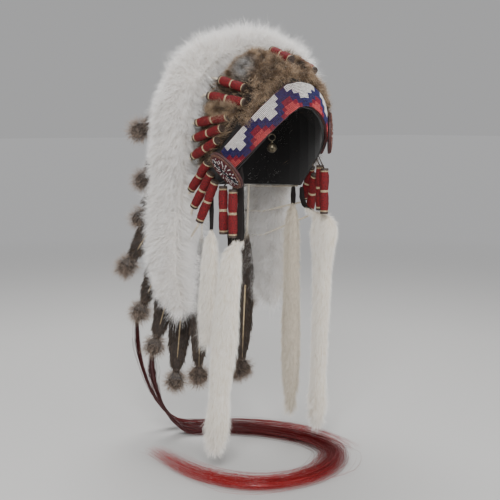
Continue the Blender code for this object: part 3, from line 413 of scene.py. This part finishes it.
def makeRuff():
    under = softCopy("ruff", "ruffUnderlay", ruff["sink"], 2, downBase)
    finishPiece(under, "white_down", "ruff")
    for part in range(ruff["pieces"]):
        roots, normals = scatter(under, ruff["count"] // ruff["pieces"])
        outward = unit(roots * [1, 1, 0] + [0, 0, 1e-6])
        facing = np.sum(normals * outward, axis=1)
        height, spread = roots[:, 2], np.abs(roots[:, 0])
        inside = np.where(facing < ruff["facing"], np.interp(height, *ruff["inside"]), 1.0)
        lengthen = np.interp(height, *ruff["byHeight"]) * (np.interp(spread, *ruff["bySpread"]) * inside)
        flow = np.tile(ruff["flow"], (len(roots), 1)) + outward * ruff["outward"]
        flow[height > ruff["crownFrom"]] = ruff["crownFlow"]
        name = "ruffDown" + str(part + 1)
        piece = growHair(name, roots, normals, flow, ruff["hair"], downMaterial, lengthen)
        finishPiece(piece, "white_down")


makeRuff()
print("ruff grown")


# Rabbit pelt over the crown and in tongues between the quills: node, piece, hairs, and how far the hide sinks
pelt = {"hides": [("fur_cover", "crownPelt", 60000, 0.0045), ("fur_patch_R", "sidePeltRight", 14000, 0.0015),
                  ("fur_patch_L", "sidePeltLeft", 14000, 0.0015)],
        "headCentre": [0, 0, -0.095], "outside": 0.1, "quillClear": ([0.006, 0.018], [0.3, 1.0]),
        "aside": [3, 0, 0], "flow": [0, -0.35, -0.55],
        "hair": {"short": 0.009, "long": 0.020, "width": 0.00044, "lift": 0.72, "comb": 0.6, "stray": 0.42,
                 "curl": 0.18, "locks": 1300, "pull": 0.55}}


def scatterOutside(piece, count):  # roots on the side away from the middle of the head
    roots, normals = scatter(piece, count)
    outside = np.sum(normals * unit(roots - pelt["headCentre"]), axis=1) > pelt["outside"]
    return roots[outside], normals[outside]


def makePelt():
    for node, name, count, sink in pelt["hides"]:
        hide = softCopy(node, name, sink, 1, rabbitBase)
        finishPiece(hide, "brown_fur", node)
        roots, normals = scatterOutside(hide, count)
        flow = unit(roots * pelt["aside"] + pelt["flow"])
        gaps = np.minimum(gapsTo("wrap_crown_1", roots), gapsTo("wrap_crown_2", roots))
        lengthen = np.interp(gaps, *pelt["quillClear"])
        hair = growHair(name + "Hair", roots, normals, flow, pelt["hair"], rabbitMaterial, lengthen)
        finishPiece(hair, "brown_fur")


# Between the quills the pelt's edge shows over the felt, clear of the band. Near the front, within frontAngle
# of it in degrees, it stays above frontLowest
sidePelt = {"count": 66000, "fromMiddle": 0.030, "lowest": -0.150, "back": 0.045, "bandClear": 0.0050,
            "frontAngle": 40, "frontLowest": -0.06, "aside": [1, 0, 0], "flow": [0, 0.2, -0.12]}


def makeSidePelt():
    roots, normals = scatterOutside(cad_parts["skull_cap"], sidePelt["count"])
    across, back, height = np.abs(roots[:, 0]), roots[:, 1], roots[:, 2]
    free = (across > sidePelt["fromMiddle"]) & (height > sidePelt["lowest"]) & (back < sidePelt["back"])
    angle = np.degrees(np.arctan2(across, -back))
    free &= (angle > sidePelt["frontAngle"]) | (height > sidePelt["frontLowest"])
    roots, normals = roots[free], normals[free]
    clear = gapsTo("brow_band", roots) > sidePelt["bandClear"]
    roots, normals = roots[clear], normals[clear]
    flow = unit(roots * sidePelt["aside"] + sidePelt["flow"])
    finishPiece(growHair("sidePeltHair", roots, normals, flow, pelt["hair"], rabbitMaterial), "brown_fur")


makePelt()
makeSidePelt()
print("pelt grown")


# White fur tails, combed down, with long-haired ends. Each hangs by a dark thong above furTop. The combing
# and the length go by the height above the tail's end
tails = {"furTop": {"tail_R_long": -0.256, "tail_R_short": -0.246,
                    "tail_L_long": -0.222, "tail_L_inner": -0.216},
         "perMetre": 62000, "sink": 0.0025, "edge": 0.002, "overlap": 0.004, "thong": "#17110f",
         "comb": ([0.0, 0.05, 0.08], [0.35, 0.55, 1.0]), "lengthen": ([0.0, 0.03], [1.6, 1.0]),
         "hair": {"short": 0.007, "long": 0.015, "width": 0.00034, "lift": 0.38, "comb": 1.0, "stray": 0.15,
                  "curl": 0.08, "droop": 0.1, "locks": 420, "pull": 0.30}}


def makeTails():
    for node, furTop in tails["furTop"].items():
        name = "ermine" + shortName(node)
        hideLook = mottledMaterial(name + "Hide", "#cfc3af", "#ebe3d5", 0.005, 0.0010, {"Roughness": 0.95})
        plainEnd(hideLook, "Z", furTop + tails["edge"], furTop - tails["edge"], tails["thong"])
        hide = softCopy(node, name, tails["sink"], 1, hideLook)
        finishPiece(hide, "white_fur", node)
        low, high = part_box(node)
        roots, normals = scatter(hide, int(tails["perMetre"] * (high[2] - low[2])))
        furred = roots[:, 2] < furTop + tails["overlap"]
        roots, normals = roots[furred], normals[furred]
        above = roots[:, 2] - low[2]
        flow = np.array([[0.0, 0.0, -1.0]]) * np.interp(above, *tails["comb"])[:, None]
        lengthen = np.interp(above, *tails["lengthen"])
        # The inner tail takes the darker copy of the fur: painted shade, as it hangs in shadow
        material = shadedErmine if node == "tail_L_inner" else ermineMaterial
        piece = growHair(name + "Hair", roots, normals, flow, tails["hair"], material, lengthen)
        finishPiece(piece, "white_fur")


makeTails()
print("tails grown")


# Feathers: the CAD vanes stay, with barbs laid along them, a pale shaft, and a fluff at each tip. A solid's
# tip is its corner farthest from the head, its direction comes from the middle stretch, and its vane reaches
# as far as corners lie more than vaneHalf from its axis
feathers = {"perSide": 9, "barbs": 2400, "fluffs": 1500, "fluffSize": 0.032, "fluffScatter": 0.0015,
            "headCentre": [0, 0, -0.10], "tipSize": 0.010, "middle": (0.035, 0.120), "vaneHalf": 0.008,
            "narrowVane": 0.08, "barbSlant": 0.38, "barbReach": 0.02,
            "shaftRadius": 0.0022, "shaftShare": 0.72, "shaftEnd": 0.02,
            "barb": {"short": 0.006, "long": 0.012, "width": 0.0010, "lift": 0.03, "comb": 1.0, "stray": 0.04,
                     "curl": 0.03, "locks": 900, "pull": 0.30},
            "fluff": {"short": 0.008, "long": 0.0175, "width": 0.00036, "lift": 0.9, "comb": 0.4,
                      "stray": 0.40, "curl": 0.2, "locks": 2160, "pull": 0.45}}


def featherAxis(node):
    points = nodeCorners(node)
    tip = points[np.argmax(np.linalg.norm(points - feathers["headCentre"], axis=1))]
    away = np.linalg.norm(points - tip, axis=1)
    tip = points[away < feathers["tipSize"]].mean(axis=0)
    middle = points[(away > feathers["middle"][0]) & (away < feathers["middle"][1])]
    along = unit(tip - middle.mean(axis=0))
    reach = (tip - points) @ along
    offset = np.linalg.norm((tip - points) - reach[:, None] * along, axis=1)
    vane = reach[(offset > feathers["vaneHalf"]) & (reach > 0)]
    return tip, along, vane.max() if len(vane) else feathers["narrowVane"]


def thinRod(name, start, end, radius, material):
    deselect()
    way, middle = end - start, (start + end) / 2
    turn = way.to_track_quat("Z", "Y").to_euler()
    bpy.ops.mesh.primitive_cone_add(vertices=6, radius1=radius, radius2=radius * 0.5, depth=way.length,
                                    location=middle, rotation=turn)
    rod = bpy.context.object
    rod.name = rod.data.name = name
    bpy.ops.object.transform_apply(location=True, rotation=True, scale=True)
    bpy.ops.object.shade_smooth()
    rod.data.materials.append(material)
    return rod


def joinPieces(pieces, name):
    selectOnly(*pieces)
    bpy.ops.object.join()
    joined = bpy.context.view_layer.objects.active
    joined.name = joined.data.name = name
    return joined


def makeFeathers():
    for side, word in (("R", "Right"), ("L", "Left")):
        barbParts, fluffParts, rods = [], [], []
        for number in range(1, feathers["perSide"] + 1):
            node = "feather_" + side + str(number)
            paintNode(node, napeMaterial if number == feathers["perSide"] else vaneMaterial)
            tip, along, vaneLength = featherAxis(node)
            roots, normals = scatter(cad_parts[node], feathers["barbs"] + feathers["fluffs"])
            reach = (tip - roots) @ along
            offset = (roots - tip) + reach[:, None] * along
            isFluff = reach < feathers["fluffSize"]
            near = np.linalg.norm(offset, axis=1) < feathers["barbReach"]
            isBarb = ~isFluff & (reach < vaneLength) & near
            flow = along + unit(offset) * feathers["barbSlant"]
            barbParts.append((roots[isBarb], normals[isBarb], flow[isBarb]))
            more, moreNormals = roots[isFluff], normals[isFluff]
            repeat = max(feathers["fluffs"] // max(len(more), 1), 1)
            more = np.repeat(more, repeat, axis=0)
            more = more + dice.normal(0, feathers["fluffScatter"], more.shape)
            moreNormals = np.repeat(moreNormals, repeat, axis=0)
            fluffParts.append((more, moreNormals, np.tile(along, (len(more), 1))))
            start = Vector(tip - along * vaneLength * feathers["shaftShare"])
            end = Vector(tip - along * feathers["shaftEnd"])
            rods.append(thinRod("rod", start, end, feathers["shaftRadius"], shaftMaterial))
        for kind, parts, material in (("barb", barbParts, barbMaterial),
                                      ("fluff", fluffParts, fluffMaterial)):
            roots, normals, flow = (np.concatenate(part) for part in zip(*parts))
            name = "feather" + kind.capitalize() + "s" + word
            finishPiece(growHair(name, roots, normals, flow, feathers[kind], material), "dark_feather")
        finishPiece(joinPieces(rods, "featherShafts" + word), "dark_feather")


makeFeathers()
print("feathers dressed")


# Horsehair: each hair keeps its own place in the lock and wanders a little. Some start late, they end at
# different places, and a few stray. The routes repeat the solids', with points of x, y, height above the
# floor and size
horsehair = {
    "floor": -0.590, "halfWidth": 0.017, "halfHeight": 0.0060, "steps": 34, "width": 0.00046,
    "topSlice": 0.002, "topSize": 0.22, "lateShare": 0.55, "latest": 0.10, "firstEnd": 0.72,
    "strayShare": 0.12, "stray": 2.2, "seat": 0.50, "drift": 0.16, "driftAtRoot": 0.2,
    "packing": 1.2, "rises": (-0.8, 1.0), "riseBySize": (0.45, 0.55), "pastBox": 0.010,
    "aboveFloor": 0.0006, "lookAhead": 0.01,
    "main": {"count": 520, "node": "horsehair_main", "places": [
        (-0.090, 0.168, 0.095, 0.45), (-0.076, 0.156, 0.045, 0.60), (-0.046, 0.148, 0.010, 0.80),
        (-0.006, 0.130, 0.006, 0.95), (0.036, 0.100, 0.006, 1.00), (0.073, 0.045, 0.006, 1.00),
        (0.091, -0.012, 0.006, 1.00), (0.086, -0.066, 0.006, 1.00), (0.054, -0.104, 0.006, 1.00),
        (0.008, -0.130, 0.006, 1.00), (-0.045, -0.136, 0.006, 1.00), (-0.094, -0.116, 0.006, 1.00),
        (-0.124, -0.072, 0.006, 0.95), (-0.137, -0.014, 0.006, 0.85), (-0.136, 0.040, 0.006, 0.70),
        (-0.132, 0.084, 0.005, 0.60), (-0.136, 0.108, 0.004, 0.55)]},
    "wisp": {"count": 150, "node": "horsehair_wisp", "places": [
        (-0.098, 0.196, 0.130, 0.30), (-0.076, 0.196, 0.065, 0.38), (-0.038, 0.188, 0.014, 0.45),
        (0.000, 0.172, 0.005, 0.55), (0.044, 0.146, 0.005, 0.60), (0.086, 0.104, 0.005, 0.60),
        (0.114, 0.052, 0.005, 0.60), (0.124, 0.000, 0.005, 0.60), (0.120, -0.052, 0.005, 0.60),
        (0.106, -0.088, 0.004, 0.55)]},
}


def smoothRoute(places, shares):
    places = np.array(places)
    at = np.clip(shares, 0, 1) * (len(places) - 1)
    i = np.minimum(at.astype(int), len(places) - 2)
    t = (at - i)[..., None]
    a, b, c, d = (places[np.clip(i + step, 0, len(places) - 1)] for step in (-1, 0, 1, 2))
    square, cube = 2 * a - 5 * b + 4 * c - d, 3 * b - a - 3 * c + d
    return (2 * b + (c - a) * t + square * t ** 2 + cube * t ** 3) / 2


def makeHorsehair():
    steps = horsehair["steps"]
    for word in ("main", "wisp"):
        lock = horsehair[word]
        low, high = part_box(lock["node"])
        top = nodePoints(lock["node"])
        top = top[top[:, 2] > high[2] - horsehair["topSlice"]].mean(axis=0)
        places = [(top[0], top[1], top[2] - horsehair["floor"], horsehair["topSize"])] + lock["places"]
        count = lock["count"]
        first = dice.uniform(0.0, horsehair["latest"], count) * (dice.random(count) < horsehair["lateShare"])
        last = dice.uniform(horsehair["firstEnd"], 1.0, count)
        shares = first[:, None] + (last - first)[:, None] * np.linspace(0, 1, steps)[None]
        route = smoothRoute(places, shares)
        ahead, behind = (smoothRoute(places, shares + step)[..., :2]
                         for step in (horsehair["lookAhead"], -horsehair["lookAhead"]))
        way = unit(ahead - behind)
        aside = np.stack([way[..., 1], -way[..., 0]], axis=-1)
        strays = np.where(dice.random((count, 1)) < horsehair["strayShare"], horsehair["stray"], 1.0)
        seat = dice.normal(0, horsehair["seat"], (count, 1)) * strays
        drift = np.cumsum(dice.normal(0, horsehair["drift"], (count, steps)), axis=1)
        drift = drift * np.linspace(horsehair["driftAtRoot"], 1, steps)
        drift = (drift + np.roll(drift, 1, axis=1) + np.roll(drift, -1, axis=1)) / 3
        drift[:, [0, -1]] = drift[:, [1, -2]]
        size = route[..., 3]
        across = (seat + drift) * horsehair["halfWidth"] * size / horsehair["packing"]
        least, grow = horsehair["riseBySize"]
        rise = dice.uniform(*horsehair["rises"], (count, 1)) * horsehair["halfHeight"] * (least + grow * size)
        points = np.empty((count, steps, 3))
        points[..., :2] = np.clip(route[..., :2] + aside * across[..., None],
                                  np.array(low[:2]) - horsehair["pastBox"],
                                  np.array(high[:2]) + horsehair["pastBox"])
        points[..., 2] = np.maximum(route[..., 2] + rise, horsehair["aboveFloor"]) + horsehair["floor"]
        piece = strandMesh("horsehair" + word.capitalize(), points, horsehair["width"], horsehairMaterial)
        finishPiece(piece, "red_hair", lock["node"])


makeHorsehair()
print("horsehair laid")


# Wrapped quills: turned cloth rolls with thread ties at the middle and near both dark ends. Places are shares
# of the length
quill = {"radius": 0.0067, "tie": 0.0058, "ridge": 0.00035, "turns": 3, "sides": 20, "rings": 7,
         "ties": [(0.05, 0.08), (0.475, 0.525), (0.92, 0.95)], "rolls": [(0.12, 0.44), (0.56, 0.88)],
         "ends": [0.0, 0.03, 0.97, 1.0], "rollLength": 0.2, "endSize": 1.04, "swell": 0.45,
         "crease": 0.030, "rough": 0.00016, "dropLength": 0.068, "thong": 0.0012, "overlap": 0.002,
         "slice": 0.001, "sharpAngle": 50}


def quillRadius(share):
    for start, end in quill["ties"]:
        if start <= share <= end:
            turns = (share - start) / (end - start) * quill["turns"]
            return quill["tie"] + quill["ridge"] * abs(math.sin(turns * math.pi))
    marks = [0.0] + [mark for tie in quill["ties"] for mark in tie] + [1.0]
    for start, end in zip(marks[::2], marks[1::2]):
        if start <= share <= end:
            swell = math.sin(math.pi * (share - start) / (end - start)) ** quill["swell"]
            full = quill["radius"] if end - start > quill["rollLength"] else quill["tie"] * quill["endSize"]
            return quill["tie"] + (full - quill["tie"]) * swell
    return quill["tie"]


def turnedPiece(name, sides, stations):
    deselect()
    bpy.ops.mesh.primitive_cylinder_add(vertices=sides, radius=1, depth=1, location=(0, 0, 0.5),
                                        end_fill_type="TRIFAN")
    piece = bpy.context.object
    piece.name = piece.data.name = name
    bpy.ops.object.transform_apply(location=True, rotation=True, scale=True)
    shares, radii = zip(*stations)
    bpy.ops.object.mode_set(mode="EDIT")
    for share in shares[1:-1]:
        bpy.ops.mesh.select_all(action="SELECT")
        bpy.ops.mesh.bisect(plane_co=(0, 0, share), plane_no=(0, 0, 1))
    bpy.ops.object.mode_set(mode="OBJECT")
    for vertex in piece.data.vertices:
        radius = float(np.interp(vertex.co.z, shares, radii))
        vertex.co.x *= radius
        vertex.co.y *= radius
    return piece


def makeQuillPattern():
    shares = set(quill["ends"])
    for start, end in quill["rolls"] + quill["ties"]:
        shares |= set(np.linspace(start, end, quill["rings"]).round(4))
    stations = [(share, quillRadius(share)) for share in sorted(shares)]
    pattern = turnedPiece("quillPattern", quill["sides"], stations)
    for material in (clothMaterial, threadMaterial, darkTie):
        pattern.data.materials.append(material)
    firstTie, lastTie = quill["ties"][0][0], quill["ties"][-1][1]
    for face in pattern.data.polygons:
        share = face.center.z
        inTie = any(start <= share <= end for start, end in quill["ties"])
        face.material_index = 1 if inTie else 2 if share < firstTie or share > lastTie else 0
    return pattern


def copyQuill(pattern, name, start, end):
    piece = ownCopy(pattern, name)
    turn = (end - start).to_track_quat("Z", "Y")
    twist = dice.uniform(0, 2 * math.pi)
    creases = dice.uniform(-1, 1, 6)
    for vertex in piece.data.vertices:
        share = vertex.co.z
        around = math.atan2(vertex.co.y, vertex.co.x)
        crease = creases[0] * math.sin(3 * around + 9 * share + twist)
        crease += creases[1] * math.sin(5 * around - 14 * share)
        grow = 1 + quill["crease"] * crease * math.sin(math.pi * share)
        grow += dice.normal(0, quill["rough"] / quill["radius"])
        flat = Vector((vertex.co.x * grow, vertex.co.y * grow, 0))
        vertex.co = start.lerp(end, share) + turn @ flat
    selectOnly(piece)
    bpy.ops.object.shade_smooth_by_angle(angle=math.radians(quill["sharpAngle"]))
    return piece


def nodeEnds(node):
    points = nodeCorners(node)
    centre = points.mean(axis=0)
    along = np.linalg.svd(points - centre)[2][0]
    reach = (points - centre) @ along
    return Vector(centre + along * reach.min()), Vector(centre + along * reach.max())


def makeQuills():
    pattern = makeQuillPattern()
    for node in sorted(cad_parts):
        if node.startswith("wrap_"):
            start, end = nodeEnds(node)
            finishPiece(copyQuill(pattern, "quill" + shortName(node), start, end), "red_cloth", node)
        elif node.startswith("drop_"):
            points = nodeCorners(node)
            heights = points[:, 2]
            start = Vector(points[heights < heights.min() + quill["slice"]].mean(axis=0))
            top = Vector(points[heights > heights.max() - quill["slice"]].mean(axis=0))
            end = start + Vector((0, 0, quill["dropLength"]))
            roll = copyQuill(pattern, "roll", start, end)
            thong = thinRod("thong", end - Vector((0, 0, quill["overlap"])), top, quill["thong"], darkTie)
            finishPiece(joinPieces([roll, thong], "drop" + shortName(node)), "red_cloth", node)
    bpy.data.objects.remove(pattern)


makeQuills()
print("quills wrapped")


# The head that the band goes round, as in the solids, so that each bead finds its place. Angles are in
# degrees from the front, and the blocks are one repeat of the pattern, from the band's top edge down
band = {"halfWidth": 0.082, "halfLength": 0.100, "dome": 0.095, "power": 2.2, "lift": 0.0074,
        "frontDrop": 0.050, "sideDrop": {-1: 0.093, 1: 0.072}, "endAngle": 71.4, "width": 0.0335,
        "curve": ([0, 12, 24, 36, 48, 60, 72], [0, 0.03, 0.16, 0.35, 0.57, 0.79, 1.0]), "slopeStep": 6,
        "rows": 17, "pitch": 0.00192, "bead": 0.00102, "unit": 0.060, "fineSteps": 400,
        "blocks": ["NWWWWWWN", "NNWWWWNN", "RNNWWNNR", "ORNNNNRO", "OORNNROO"]}


def headPoint(angle, drop):
    rise = max(band["dome"] - drop, 0.0) / (band["dome"] + band["lift"])
    shrink = (1 - rise ** band["power"]) ** (1 / band["power"])
    turn = math.radians(angle)
    return Vector(((band["halfWidth"] + band["lift"]) * shrink * math.sin(turn),
                   -(band["halfLength"] + band["lift"]) * shrink * math.cos(turn), -drop))


def bandMiddle(turned):  # turned is in degrees from the front, positive towards the wearer's right
    share = float(np.interp(abs(turned), *band["curve"]))
    return band["frontDrop"] + band["sideDrop"][1 if turned < 0 else -1] * share


def bandPlace(turned, across):
    last = band["curve"][0][-1]
    ends = [max(min(turned + step, last), -last) for step in (-band["slopeStep"], band["slopeStep"])]
    back, ahead = (headPoint(-end, bandMiddle(end)) for end in ends)
    slope = (back.z - ahead.z) / math.hypot(ahead.x - back.x, ahead.y - back.y)
    length = math.hypot(1, slope)
    drop = bandMiddle(turned)
    perDegree = (headPoint(turned + 1, drop) - headPoint(turned, drop)).length
    return headPoint(-turned + across * slope / length / perDegree, drop + across / length)


# Many copies of one small bead in a single mesh, each turned by its own three axes
beads = {"segments": 6, "rings": 4, "shape": [1.0, 1.0, 0.82], "jitter": 0.00006, "sizes": (0.93, 1.06)}


def stampBeads(name, places, axes, sizes, letters):
    deselect()
    bpy.ops.mesh.primitive_uv_sphere_add(segments=beads["segments"], ring_count=beads["rings"], radius=1)
    bead = bpy.context.object
    shape = meshPoints(bead.data) * beads["shape"]
    faces = [list(face.vertices) for face in bead.data.polygons]
    bpy.data.objects.remove(bead)
    places, axes, sizes = np.array(places), np.array(axes), np.array(sizes)
    vertices = places[:, None] + np.einsum("vi,nij->nvj", shape, axes) * sizes[:, None, None]
    mesh = bpy.data.meshes.new(name)
    allFaces = [[index + at * len(shape) for index in face] for at in range(len(places)) for face in faces]
    mesh.from_pydata(vertices.reshape(-1, 3), [], allFaces)
    for letter in beadOrder:
        mesh.materials.append(beadMaterials[letter])
    slots = [beadOrder.index(letter) for letter in letters]
    mesh.polygons.foreach_set("material_index", np.repeat(slots, len(faces)))
    mesh.shade_smooth()
    finishPiece(addObject(name, mesh), "beadwork")


def beadAxes(alongHole, out):
    third = alongHole.cross(out).normalized()
    return [list(third), list(out), list(alongHole)]


def makeBand():
    paintNode("brow_band", leatherMaterial)
    fine = np.linspace(-band["endAngle"], band["endAngle"], band["fineSteps"])
    run = [bandPlace(turned, 0) for turned in fine]
    length = np.concatenate([[0], np.cumsum([(b - a).length for a, b in zip(run, run[1:])])])
    middle = float(np.interp(0, fine, length))
    columns = int(length[-1] / band["pitch"])
    blocksDown, blocksWide = len(band["blocks"]), len(band["blocks"][0])
    places, axes, sizes, letters = [], [], [], []
    for column in range(columns):
        at = (column + 0.5) / columns * length[-1]
        turned = float(np.interp(at, length, fine))
        block = int(((at - middle) / band["unit"] * blocksWide + blocksWide / 2) % blocksWide)
        lower, upper = bandPlace(turned, band["width"] / 2), bandPlace(turned, -band["width"] / 2)
        acrossWay = (lower - upper).normalized()
        nextPlace = bandPlace(turned + 1, 0) - bandPlace(turned - 1, 0)
        out = acrossWay.cross(nextPlace).normalized()
        if out.dot(run[0].lerp(run[-1], 0.5) - bandPlace(turned, 0)) > 0:
            out = -out
        for row in range(band["rows"]):
            across = ((row + 0.5) / band["rows"] - 0.5) * band["width"]
            jitter = Vector(dice.normal(0, beads["jitter"], 3))
            places.append(list(bandPlace(turned, across) + jitter))
            axes.append(beadAxes(acrossWay, out))
            sizes.append(band["bead"] * dice.uniform(*beads["sizes"]))
            letters.append(band["blocks"][row * blocksDown // band["rows"]][block])
    stampBeads("bandBeads", places, axes, sizes, letters)


makeBand()
print("band beaded")


# Rosettes: rings of beads on the leather discs, two maroon leaves with white ticks each side of an ink line.
# tickTurn and tick are in degrees round the disc
rosette = {"longWays": {"rosette_R": (0.36, -0.71, -0.61), "rosette_L": (0, 0, -1)},
           "rings": 15, "pitch": 0.00205, "bead": 0.00100, "lift": 0.0006,
           "centreSize": 0.004, "rimFrom": 0.028, "domeRadius": 0.031,
           "rustFrom": 0.0266, "line": 0.0022, "edge": 0.0044, "edgeBead": 0.0041,
           "tickTurn": 20, "tick": 5, "ticks": (0.010, 0.024)}


def rosetteLetter(x, y, radius):
    if radius > rosette["rustFrom"]:
        return "T"
    if abs(y) < rosette["line"]:
        return "G"
    if abs(y) < rosette["edge"]:
        return "W" if int((x + 1) / rosette["edgeBead"]) % 2 else "G"
    turn = math.degrees(math.atan2(y, x)) % rosette["tickTurn"]
    inTicks = rosette["ticks"][0] < radius < rosette["ticks"][1]
    return "W" if turn < rosette["tick"] and inTicks else "M"


def makeRosettes():
    for node, longWay in rosette["longWays"].items():
        paintNode(node, leatherMaterial)
        points = nodeCorners(node)
        centre = points.mean(axis=0)
        through = np.linalg.svd(points - centre)[2][2]
        face = Vector(through)
        depth = (points - centre) @ through
        radii = np.linalg.norm((points - centre) - np.outer(depth, through), axis=1)
        atRim = radii > rosette["rimFrom"]
        if depth[radii < rosette["centreSize"]].mean() < depth[atRim].mean():
            face, depth = -face, -depth
        longWay = Vector(longWay)
        longWay = (longWay - face * longWay.dot(face)).normalized()
        crossWay = face.cross(longWay)
        top, rim = depth.max(), depth[atRim].max()
        places, axes, sizes, letters = [], [], [], []
        for ring in range(rosette["rings"]):
            radius = ring * rosette["pitch"]
            around = max(int(2 * math.pi * radius / rosette["pitch"]), 1)
            rise = rim + (top - rim) * (1 - (radius / rosette["domeRadius"]) ** 2) + rosette["lift"]
            for step in range(around):
                turn = 2 * math.pi * step / around
                x, y = radius * math.cos(turn), radius * math.sin(turn)
                place = Vector(centre) + longWay * x + crossWay * y + face * rise
                spoke = (longWay * -math.sin(turn) + crossWay * math.cos(turn)).normalized()
                places.append(list(place + Vector(dice.normal(0, beads["jitter"], 3))))
                axes.append(beadAxes(spoke, face))
                sizes.append(rosette["bead"] * dice.uniform(*beads["sizes"]))
                letters.append(rosetteLetter(x, y, radius))
        stampBeads("rosetteBeads" + shortName(node), places, axes, sizes, letters)


makeRosettes()
print("rosettes beaded")


# The hawk bell: a turned brass ball with a raised seam. The profile is shares of the height, and radii of
# which the seam's is the largest
bell = {"sides": 28, "sharpAngle": 40,
        "profile": [(0.0, 0.20), (0.04, 0.46), (0.16, 0.80), (0.30, 0.96), (0.36, 1.0), (0.39, 1.12),
                    (0.43, 1.12), (0.46, 1.0), (0.60, 0.93), (0.74, 0.72), (0.84, 0.40), (0.90, 0.24),
                    (1.0, 0.22)]}


def makeBell():
    low, high = (Vector(corner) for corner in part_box("bell"))
    radius = (high.x - low.x) / 2 / max(size for share, size in bell["profile"])
    stations = [(share, size * radius) for share, size in bell["profile"]]
    piece = turnedPiece("hawkBell", bell["sides"], stations)
    for vertex in piece.data.vertices:
        height = low.z + vertex.co.z * (high.z - low.z)
        vertex.co = Vector((vertex.co.x + (low.x + high.x) / 2, vertex.co.y + (low.y + high.y) / 2, height))
    piece.data.materials.append(brassMaterial)
    bpy.ops.object.shade_smooth_by_angle(angle=math.radians(bell["sharpAngle"]))
    finishPiece(piece, "bell_brass", "bell")
    paintNode("bell_ring", brassMaterial)


makeBell()
paintNode("skull_cap", feltMaterial)
print("bell and cap finished")


# The stage: a pale floor that fades into the world's colour away from the headdress, and soft studio light.
# A light is its name, place, size and power
stage = {"floor": "#bfbebc", "world": "#cfcfd0", "strength": 0.66, "fadeFrom": 1.0, "fadeTo": 3.0,
         "size": 60, "gap": 0.0004, "aim": (0, 0, -0.25),
         "lights": [("key", (-1.3, -1.6, 1.1), 1.0, 58), ("fill", (0.5, -1.9, -0.1), 1.2, 18),
                    ("top", (0.3, 0.9, 1.6), 1.2, 40)]}


def floorMaterial():
    look = {"Roughness": 0.9, "Emission Color": linear(stage["world"])}
    material, tree, shader = newMaterial("paleFloor", look)
    away = addNode(tree, "ShaderNodeVectorMath", {"operation": "LENGTH"}, {0: objectPlace(tree)})
    far = addNode(tree, "ShaderNodeMapRange", {"From Min": stage["fadeFrom"], "From Max": stage["fadeTo"]},
                  {"Value": away.outputs["Value"]}).outputs[0]
    glow = addNode(tree, "ShaderNodeMath", {"operation": "MULTIPLY", 1: stage["strength"]}, {0: far})
    colour = colourStops(tree, far, [(0.0, stage["floor"]), (1.0, "#000000")])
    tree.links.new(colour, shader.inputs["Base Color"])
    tree.links.new(glow.outputs[0], shader.inputs["Emission Strength"])
    return material


def makeStage():
    deselect()
    bpy.ops.mesh.primitive_plane_add(size=stage["size"], location=(0, 0, horsehair["floor"] - stage["gap"]))
    floor = bpy.context.object
    floor.name = "floor"
    floor.data.materials.append(floorMaterial())
    world = bpy.data.worlds.new("studio")
    bpy.context.scene.world = world
    world.use_nodes = True
    background = world.node_tree.nodes["Background"]
    background.inputs["Color"].default_value = linear(stage["world"])
    background.inputs["Strength"].default_value = stage["strength"]
    for name, place, size, power in stage["lights"]:
        data = bpy.data.lights.new(name, "AREA")
        data.size, data.energy = size, power
        lamp = addObject(name, data)
        lamp.location = place
        lamp.rotation_euler = (Vector(stage["aim"]) - Vector(place)).to_track_quat("-Z", "Y").to_euler()


makeStage()
print("stage lit")
